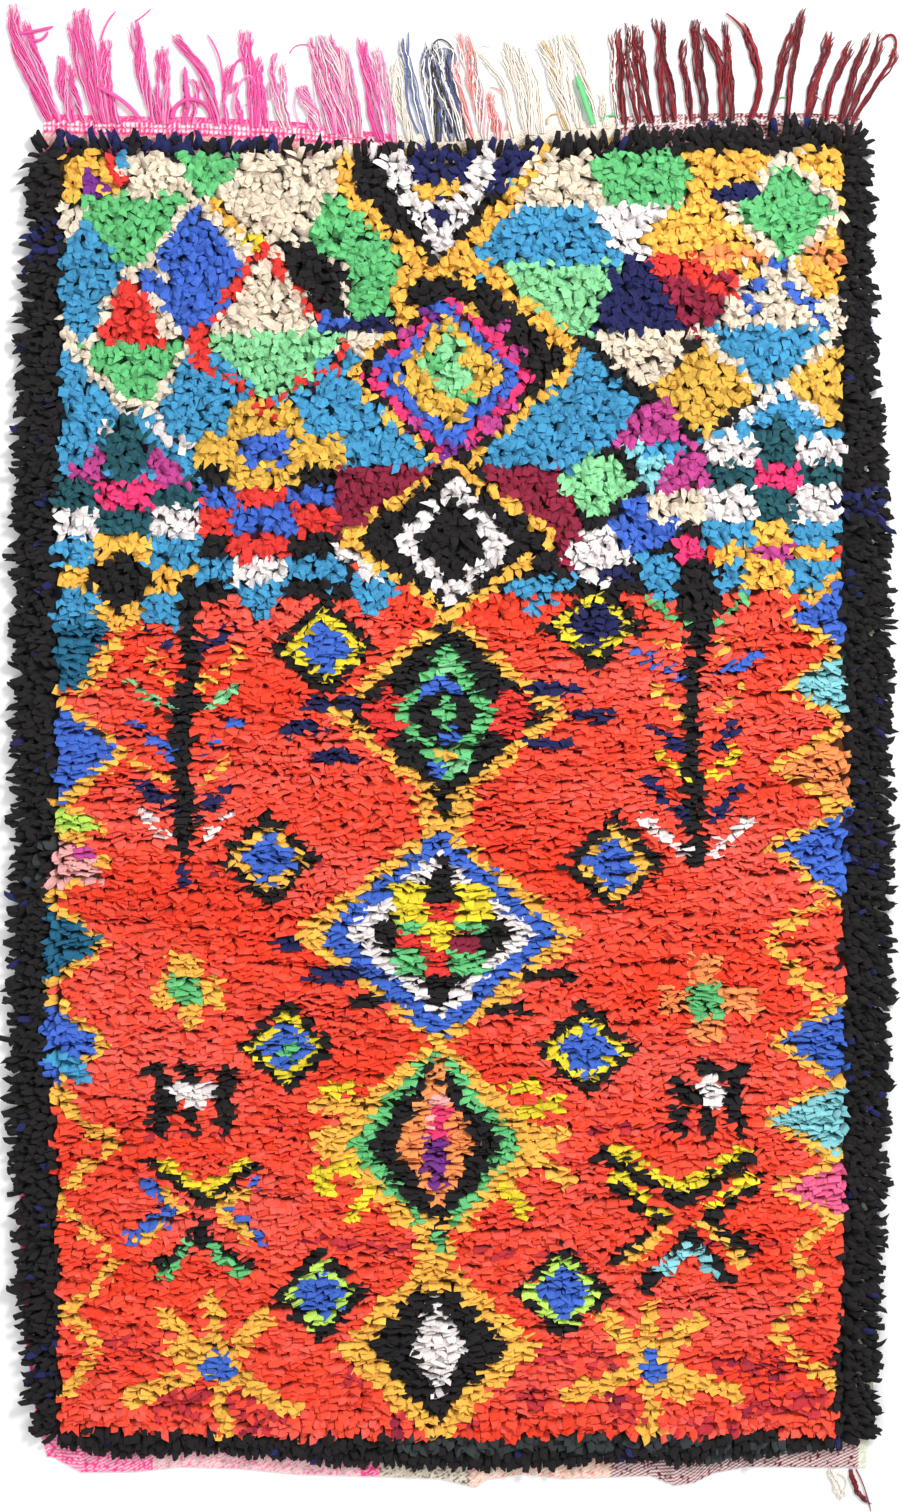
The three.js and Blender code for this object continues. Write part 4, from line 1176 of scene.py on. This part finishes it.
# name, node, slot, from, to, main yarn, flecks and their share, then the lower half's yarns
BANDS = [
    ("band_pink", "fringe_pink", "pink_yarn", -651, -86, (255, 62, 142), (255, 150, 190), 0.3,
     (246, 168, 172), (252, 226, 214)),
    ("band_natural", "fringe_natural", "natural_yarn", -86, 262, (232, 218, 198), (250, 240, 228), 0.4,
     (222, 186, 120), (120, 96, 84)),
    ("band_maroon", "fringe_maroon", "maroon_yarn", 262, 655, (122, 22, 36), (236, 214, 212), 0.42,
     (226, 190, 186), (110, 20, 32)),
]
yarn_cloth = cloth_material(
    "spun_yarn", crease_scale=900, fibre_scale=3800, fibre_share=0.5, bump_distance=0.4 * MM,
    roughness=0.92, sheen=0.15,
)
random = np.random.default_rng(31)
for name, node, slot, left, right, main, fleck, share, low_main, low_fleck in BANDS:
    columns = round((right - left) * MM / BAND_STEP)
    x = np.linspace(left * MM, right * MM - BAND_GAP, columns)
    up = np.linspace(0, 1, BAND_ROWS)[:, None]
    lower_edge = column(END_BAND, x, 1) + BAND_GAP
    y = lower_edge + up * (column(END_BAND, x, 2) - lower_edge)
    x = np.broadcast_to(x, y.shape)
    weft = np.sin(2 * math.pi * (y / WEFT_PITCH + np.arange(columns) / 2))
    height = BAND_TOP + BAND_RELIEF * weft
    flecked = (random.random(y.shape) < share)[..., None]
    upper_shades = np.where(flecked, dye(*fleck), dye(*main))
    lower_shades = np.where(flecked, dye(*low_fleck), dye(*low_main))
    shades = np.where((up > UPPER_FROM)[..., None], upper_shades, lower_shades)
    if name != "band_natural":
        for row_share in TWINE_ROWS:
            twined = abs(up - UPPER_FROM - row_share * (1 - UPPER_FROM)) < TWINE_HALF
            opening = twined & (np.sin(2 * math.pi * x / TWINE_PITCH) > 0.1)
            shades = np.where(opening[..., None], TWINE_COLOUR, shades)
            height = np.where(opening, height - TWINE_DEPTH, height)
    top = np.stack([x, y, height], -1)
    mesh = closed_slab(name, top + (MIDDLE_X, MIDDLE_Y, 0), 0)
    give_colours(mesh, shades.reshape(-1, 3))
    place_piece(name, mesh, yarn_cloth, slot, node)


# The fringe: the warp ends, left long and lying on the floor in loose bunches of thin two-ply
# yarn. Each bunch is lightly twisted, waved, and frayed at its tip. Some yarns are left as
# loops, and a few single threads stray.
YARN_RADIUS = 1.5 * MM
YARN_SIDES = 3
YARN_STEPS = 16
YARNS_PER_MM = 1.25
BUNCH_HEIGHT = 4.2 * MM
BUNCH_SPREAD = 1.5
ROOT_DEPTH = 12 * MM

# Painted light and shade: the maroon yarn and the darker maroon one are a lighter and a darker copy of one
# maroon yarn
YARNS = {
    "pink": dye(255, 92, 172), "rose": dye(255, 160, 206), "blush": dye(252, 220, 224),
    "natural": dye(250, 236, 220), "ivory": dye(254, 248, 240), "slate": dye(100, 114, 164),
    "soot": dye(72, 62, 60), "salmon": dye(255, 158, 150), "ochre": dye(228, 194, 138),
    "green": dye(108, 206, 132), "maroon": dye(152, 30, 42), "shaded_maroon": dye(92, 20, 30),
}

# root, third, two thirds, tip, reach, width, yarns: the tassels, in millimetres
# Painted highlight: rose is a lighter copy of the pink yarn, mixed into the pink bunches and loops to stand
# for their highlights
PINK = ("pink", "pink", "rose")
BLUSH = ("blush", "pink", "rose", "blush", "rose")
PINK_TASSELS = [
    (-644, -668, -690, -699, 170, 14, PINK), (-628, -646, -662, -681, 146, 9, PINK),
    (-606, -616, -621, -622, 92, 12, PINK), (-587, -597, -604, -608, 80, 6, PINK),
    (-566, -584, -600, -611, 146, 6, PINK), (-552, -566, -580, -592, 169, 18, PINK),
    (-533, -549, -554, -553, 120, 13, PINK), (-469, -486, -499, -504, 150, 13, PINK),
    (-456, -460, -462, -461, 112, 16, PINK), (-426, -424, -424, -425, 72, 8, PINK),
    (-416, -411, -408, -412, 60, 6, PINK), (-376, -384, -405, -440, 130, 12, PINK),
    (-356, -362, -363, -352, 84, 6, PINK), (-333, -338, -344, -346, 58, 6, PINK),
    (-314, -316, -321, -328, 140, 18, PINK), (-293, -300, -306, -309, 100, 8, PINK),
    (-269, -280, -284, -280, 106, 8, BLUSH), (-257, -264, -268, -269, 94, 7, BLUSH),
    (-219, -222, -230, -238, 62, 16, BLUSH), (-190, -199, -210, -215, 142, 16, BLUSH),
    (-168, -177, -188, -195, 146, 17, BLUSH), (-146, -154, -165, -174, 132, 16, BLUSH),
    (-112, -122, -132, -142, 150, 17, PINK), (-88, -98, -110, -121, 138, 11, BLUSH),
]
MARL = ("soot", "ivory", "slate")
PALE = ("natural", "ivory")
NATURAL_TASSELS = [
    (-62, -74, -86, -90, 112, 16, PALE), (-36, -52, -66, -76, 150, 9, ("slate", "ivory")),
    (-20, -27, -36, -40, 134, 15, MARL), (-2, -10, -19, -26, 142, 15, MARL), (16, 8, -2, -8, 136, 13, MARL),
    (34, 24, 14, 9, 116, 9, ("salmon", "blush")), (58, 47, 33, 18, 156, 16, ("blush", "salmon", "ivory")),
    (78, 74, 64, 56, 66, 13, ("salmon", "blush")), (99, 93, 80, 44, 124, 8, PALE),
    (126, 118, 108, 86, 134, 19, PALE), (146, 137, 126, 107, 122, 15, PALE),
    (186, 175, 161, 144, 130, 15, ("ivory", "ochre", "natural")), (206, 192, 178, 166, 138, 14, PALE),
    (229, 218, 205, 190, 138, 15, PALE), (247, 245, 243, 243, 40, 9, PALE),
]
# Painted light and shade: the maroon and the darker maroon yarns mixed here are a lighter and a darker copy
# of one maroon yarn
WINE = ("maroon", "shaded_maroon")
MAROON_TASSELS = [
    (268, 262, 260, 259, 130, 6, ("ivory", "maroon")), (277, 272, 270, 270, 138, 8, WINE),
    (298, 291, 288, 284, 146, 13, ("maroon", "ivory", "shaded_maroon")),
    (319, 308, 302, 299, 142, 12, WINE), (344, 336, 332, 327, 150, 9, WINE),
    (357, 350, 343, 340, 146, 9, WINE), (385, 379, 371, 373, 120, 8, WINE),
    (406, 401, 394, 392, 146, 13, WINE), (434, 433, 426, 404, 134, 8, WINE),
    (449, 446, 441, 438, 144, 9, WINE), (477, 492, 488, 462, 140, 8, WINE),
    (509, 520, 533, 549, 140, 9, WINE), (536, 542, 549, 563, 162, 9, WINE),
    (570, 579, 591, 608, 128, 12, WINE), (597, 604, 620, 645, 116, 9, WINE),
    (622, 635, 650, 668, 130, 9, WINE), (632, 651, 672, 690, 128, 7, WINE),
    (641, 665, 694, 712, 112, 7, WINE),
]
CORNER_TASSELS = [
    (606, 612, 618, 620, 34, 9, PALE), (640, 644, 650, 664, 42, 6, WINE),
]


# yarn, thickness, then the places that it passes, across and up: loops and stray threads
PINK_THREADS = [
    ("pink", 2.2, [(-690, 1226), (-664, 1230), (-636, 1237)]),
    ("pink", 2.0, [(-676, 1216), (-650, 1220), (-645, 1229)]),
    ("pink", 1.2, [(-560, 1216), (-548, 1246), (-536, 1262)]),
    ("pink", 1.0, [(-505, 1246), (-490, 1256), (-480, 1266)]),
    ("pink", 3.0, [(-500, 1090), (-520, 1112), (-546, 1130), (-566, 1140)]),
    ("pink", 3.2, [(-446, 1090), (-436, 1112), (-414, 1122), (-392, 1110), (-384, 1090)]),
    ("pink", 3.0, [(-420, 1106), (-424, 1140), (-426, 1172)]),
    ("pink", 1.4, [(-366, 1150), (-372, 1190), (-390, 1224)]),
    ("pink", 1.8, [(-352, 1130), (-350, 1162), (-338, 1184), (-322, 1180)]),
    ("rose", 1.8, [(-342, 1092), (-346, 1120), (-336, 1150), (-320, 1160), (-312, 1140)]),
    ("blush", 1.0, [(-330, 1086), (-336, 1104), (-324, 1116), (-316, 1100)]),
    ("rose", 1.2, [(-290, 1120), (-282, 1150), (-272, 1140), (-276, 1110)]),
    ("pink", 0.8, [(-258, 1194), (-248, 1206), (-230, 1208), (-214, 1202)]),
    ("rose", 1.0, [(-240, 1080), (-250, 1110), (-244, 1140)]),
    ("blush", 1.0, [(-206, 1080), (-214, 1112), (-220, 1150)]),
]
NATURAL_THREADS = [
    ("natural", 1.4, [(-66, 1070), (-88, 1110), (-92, 1150), (-84, 1190)]),
    ("slate", 1.4, [(-52, 1066), (-66, 1110), (-76, 1160), (-64, 1200), (-70, 1228)]),
    ("soot", 1.0, [(-30, 1190), (-20, 1216), (-2, 1212), (4, 1190), (-8, 1172)]),
    ("ivory", 1.0, [(-26, 1180), (-14, 1204), (6, 1196), (2, 1170)]),
    ("natural", 0.8, [(38, 1196), (50, 1206), (62, 1204)]),
    ("salmon", 1.0, [(82, 1066), (92, 1100), (76, 1136), (62, 1140)]),
    ("ochre", 1.4, [(155, 1080), (160, 1096), (170, 1098), (184, 1084)]),
    ("green", 4.4, [(226, 1080), (216, 1108), (207, 1136), (200, 1156)]),
    ("green", 1.8, [(238, 1086), (252, 1094), (270, 1094)]),
    ("ochre", 1.0, [(238, 1080), (254, 1074), (262, 1090)]),
]
MAROON_THREADS = [
    ("ivory", 1.2, [(262, 1092), (258, 1140), (262, 1190), (258, 1226)]),
    ("ivory", 1.2, [(312, 1094), (306, 1140), (300, 1190), (306, 1220)]),
    ("maroon", 1.2, [(434, 1190), (420, 1214), (402, 1232)]),
    ("maroon", 2.0, [(477, 1094), (494, 1148), (478, 1216), (440, 1258)]),
    ("maroon", 0.9, [(560, 1240), (564, 1258), (566, 1266)]),
    ("maroon", 1.8, [(690, 1216), (708, 1222), (712, 1204), (700, 1190)]),
    ("green", 1.0, [(520, 1120), (528, 1124), (540, 1122)]),
    ("ivory", 1.0, [(576, 1110), (582, 1126), (594, 1120)]),
]
CORNER_THREADS = [
    ("natural", 1.2, [(619, -1076), (632, -1096), (624, -1112), (622, -1120)]),
    ("maroon", 0.8, [(648, -1070), (660, -1096), (670, -1130), (672, -1138)]),
]


def yarn_spinning_tree():
    """Spins a closed round yarn along each line of points, as thick as its points say"""
    tree, asked, identifiers = start_tree("yarn_spinning", Radius="Float", Sides="Int", Cloth="Material")
    route = add_node(tree, "GeometryNodeMeshToCurve", {"Mesh": asked["Geometry"]})
    ring = add_node(tree, "GeometryNodeCurvePrimitiveCircle", {
        "Resolution": asked["Sides"], "Radius": asked["Radius"],
    })
    place = add_node(tree, "GeometryNodeInputIndex").outputs[0]
    share = add_node(tree, "ShaderNodeMath", {0: place, 1: asked["Sides"]}, operation="DIVIDE")
    marked = add_node(tree, "GeometryNodeStoreNamedAttribute", {
        "Geometry": ring.outputs["Curve"], "Name": "around", "Value": share.outputs[0],
    })
    thick = add_node(tree, "GeometryNodeInputNamedAttribute", {"Name": "thick"})
    spun = add_node(tree, "GeometryNodeCurveToMesh", {
        "Curve": route.outputs["Curve"], "Profile Curve": marked.outputs["Geometry"],
        "Scale": thick.outputs[0], "Fill Caps": True,
    })
    end_tree(tree, spun.outputs["Mesh"], asked["Cloth"])
    return tree, identifiers


yarn_spinning, spinning_inputs = yarn_spinning_tree()


def bunch_routes(bunch, edge, direction, random):
    """The route, thickness and dye of each of a bunch's yarns, twisted round its middle line"""
    root, third, two_thirds, tip, reach, width, yarns = bunch
    bend = np.polyfit([0, 1 / 3, 2 / 3, 1], np.array([root, third, two_thirds, tip]) * MM, 3)
    share = np.linspace(0, 1, YARN_STEPS)
    twist = random.uniform(0.3, 0.9) * random.choice([-1, 1])
    sway_from = random.uniform(0, 2 * math.pi)
    sway = 2.2 * MM * np.sin(2 * math.pi * 1.8 * share + sway_from) * share
    flare = 0.58 + 0.42 * np.sin(math.pi * share ** 0.8) + 0.38 * share ** 4
    spread = BUNCH_SPREAD * width * MM / 2 * flare
    for number in range(max(3, round(width * YARNS_PER_MM))):
        start, out = random.uniform(0, 2 * math.pi), math.sqrt(random.uniform(0.05, 1))
        turn = start + 2 * math.pi * twist * share
        crimp = 1.2 * MM * np.sin(2 * math.pi * random.uniform(3.5, 6) * share + start) * (0.4 + share)
        stray = random.normal(0, 2.4 * MM) * share ** 5
        x = np.polyval(bend, share) + sway + crimp + stray + out * spread * np.cos(turn)
        length = reach * MM * (1.04 - 0.16 * random.random() ** 2) + ROOT_DEPTH
        y = edge + direction * (share * length - ROOT_DEPTH)
        thick = random.uniform(0.85, 1.2) * np.interp(share, [0, 0.88, 1], [1, 0.9, 0.3])
        z = YARN_RADIUS * 1.15 + BUNCH_HEIGHT / 2 * (1 + out * np.sin(turn)) * (1 - 0.45 * share)
        tone = YARNS[yarns[number % len(yarns)]] * random.uniform(0.84, 1.1)
        yield np.stack([x, y, z], -1), thick, np.clip(tone, 0, 1)


def thread_route(yarn, thickness, places):
    """The route, thickness and dye of one loop or stray thread, smooth through its places"""
    places = np.array(places, float) * MM
    passed = np.concatenate([[0], np.cumsum(np.linalg.norm(np.diff(places, axis=0), axis=1))])
    share = np.linspace(0, 1, YARN_STEPS)
    order = min(3, len(places) - 1)
    x = np.polyval(np.polyfit(passed / passed[-1], places[:, 0], order), share)
    y = np.polyval(np.polyfit(passed / passed[-1], places[:, 1], order), share)
    z = YARN_RADIUS * thickness + 1.5 * MM * np.sin(math.pi * share) + 0.4 * MM
    return np.stack([x, y, z], -1), thickness * np.interp(share, [0, 0.85, 1], [1, 0.95, 0.5]), YARNS[yarn]


def spin(name, routes):
    """All the yarns of one group, as one mesh"""
    path = bpy.data.meshes.new(name + "_routes")
    points = np.concatenate([route for route, _, _ in routes]) + (MIDDLE_X, MIDDLE_Y, 0)
    index = np.arange(len(points)).reshape(len(routes), YARN_STEPS)
    steps = np.stack([index[:, :-1], index[:, 1:]], -1).reshape(-1, 2)
    path.from_pydata(points.tolist(), steps.tolist(), [])
    give_colours(path, np.repeat([colour for _, _, colour in routes], YARN_STEPS, axis=0))
    for title, kind, values in (
        ("along", "FLOAT", np.tile(np.linspace(0, 1, YARN_STEPS), len(routes))),
        ("thick", "FLOAT", np.concatenate([thickness for _, thickness, _ in routes])),
        ("number", "INT", np.repeat(np.arange(len(routes)), YARN_STEPS)),
    ):
        path.attributes.new(title, kind, "POINT").data.foreach_set("value", values)
    mesh = grow(name, path, yarn_spinning, {
        spinning_inputs["Radius"]: YARN_RADIUS,
        spinning_inputs["Sides"]: YARN_SIDES,
        spinning_inputs["Cloth"]: yarn_cloth,
    })
    mesh.shade_smooth()
    lay_out_bake(mesh)
    return mesh


CORNER_EDGE = -1.082
random = np.random.default_rng(47)
for name, node, slot, bunches, threads, direction in [
    ("tassels_pink", "fringe_pink", "pink_yarn", PINK_TASSELS, PINK_THREADS, 1),
    ("tassels_natural", "fringe_natural", "natural_yarn", NATURAL_TASSELS, NATURAL_THREADS, 1),
    ("tassels_maroon", "fringe_maroon", "maroon_yarn", MAROON_TASSELS, MAROON_THREADS, 1),
    ("tassels_corner", "fringe_corner", "natural_yarn", CORNER_TASSELS, CORNER_THREADS, -1),
]:
    routes = []
    for bunch in bunches:
        edge = column(END_BAND, bunch[0] * MM, 2) if direction > 0 else CORNER_EDGE
        routes += bunch_routes(bunch, edge, direction, random)
    routes += [thread_route(*thread) for thread in threads]
    place_piece(name, spin(name, routes), yarn_cloth, slot, node)
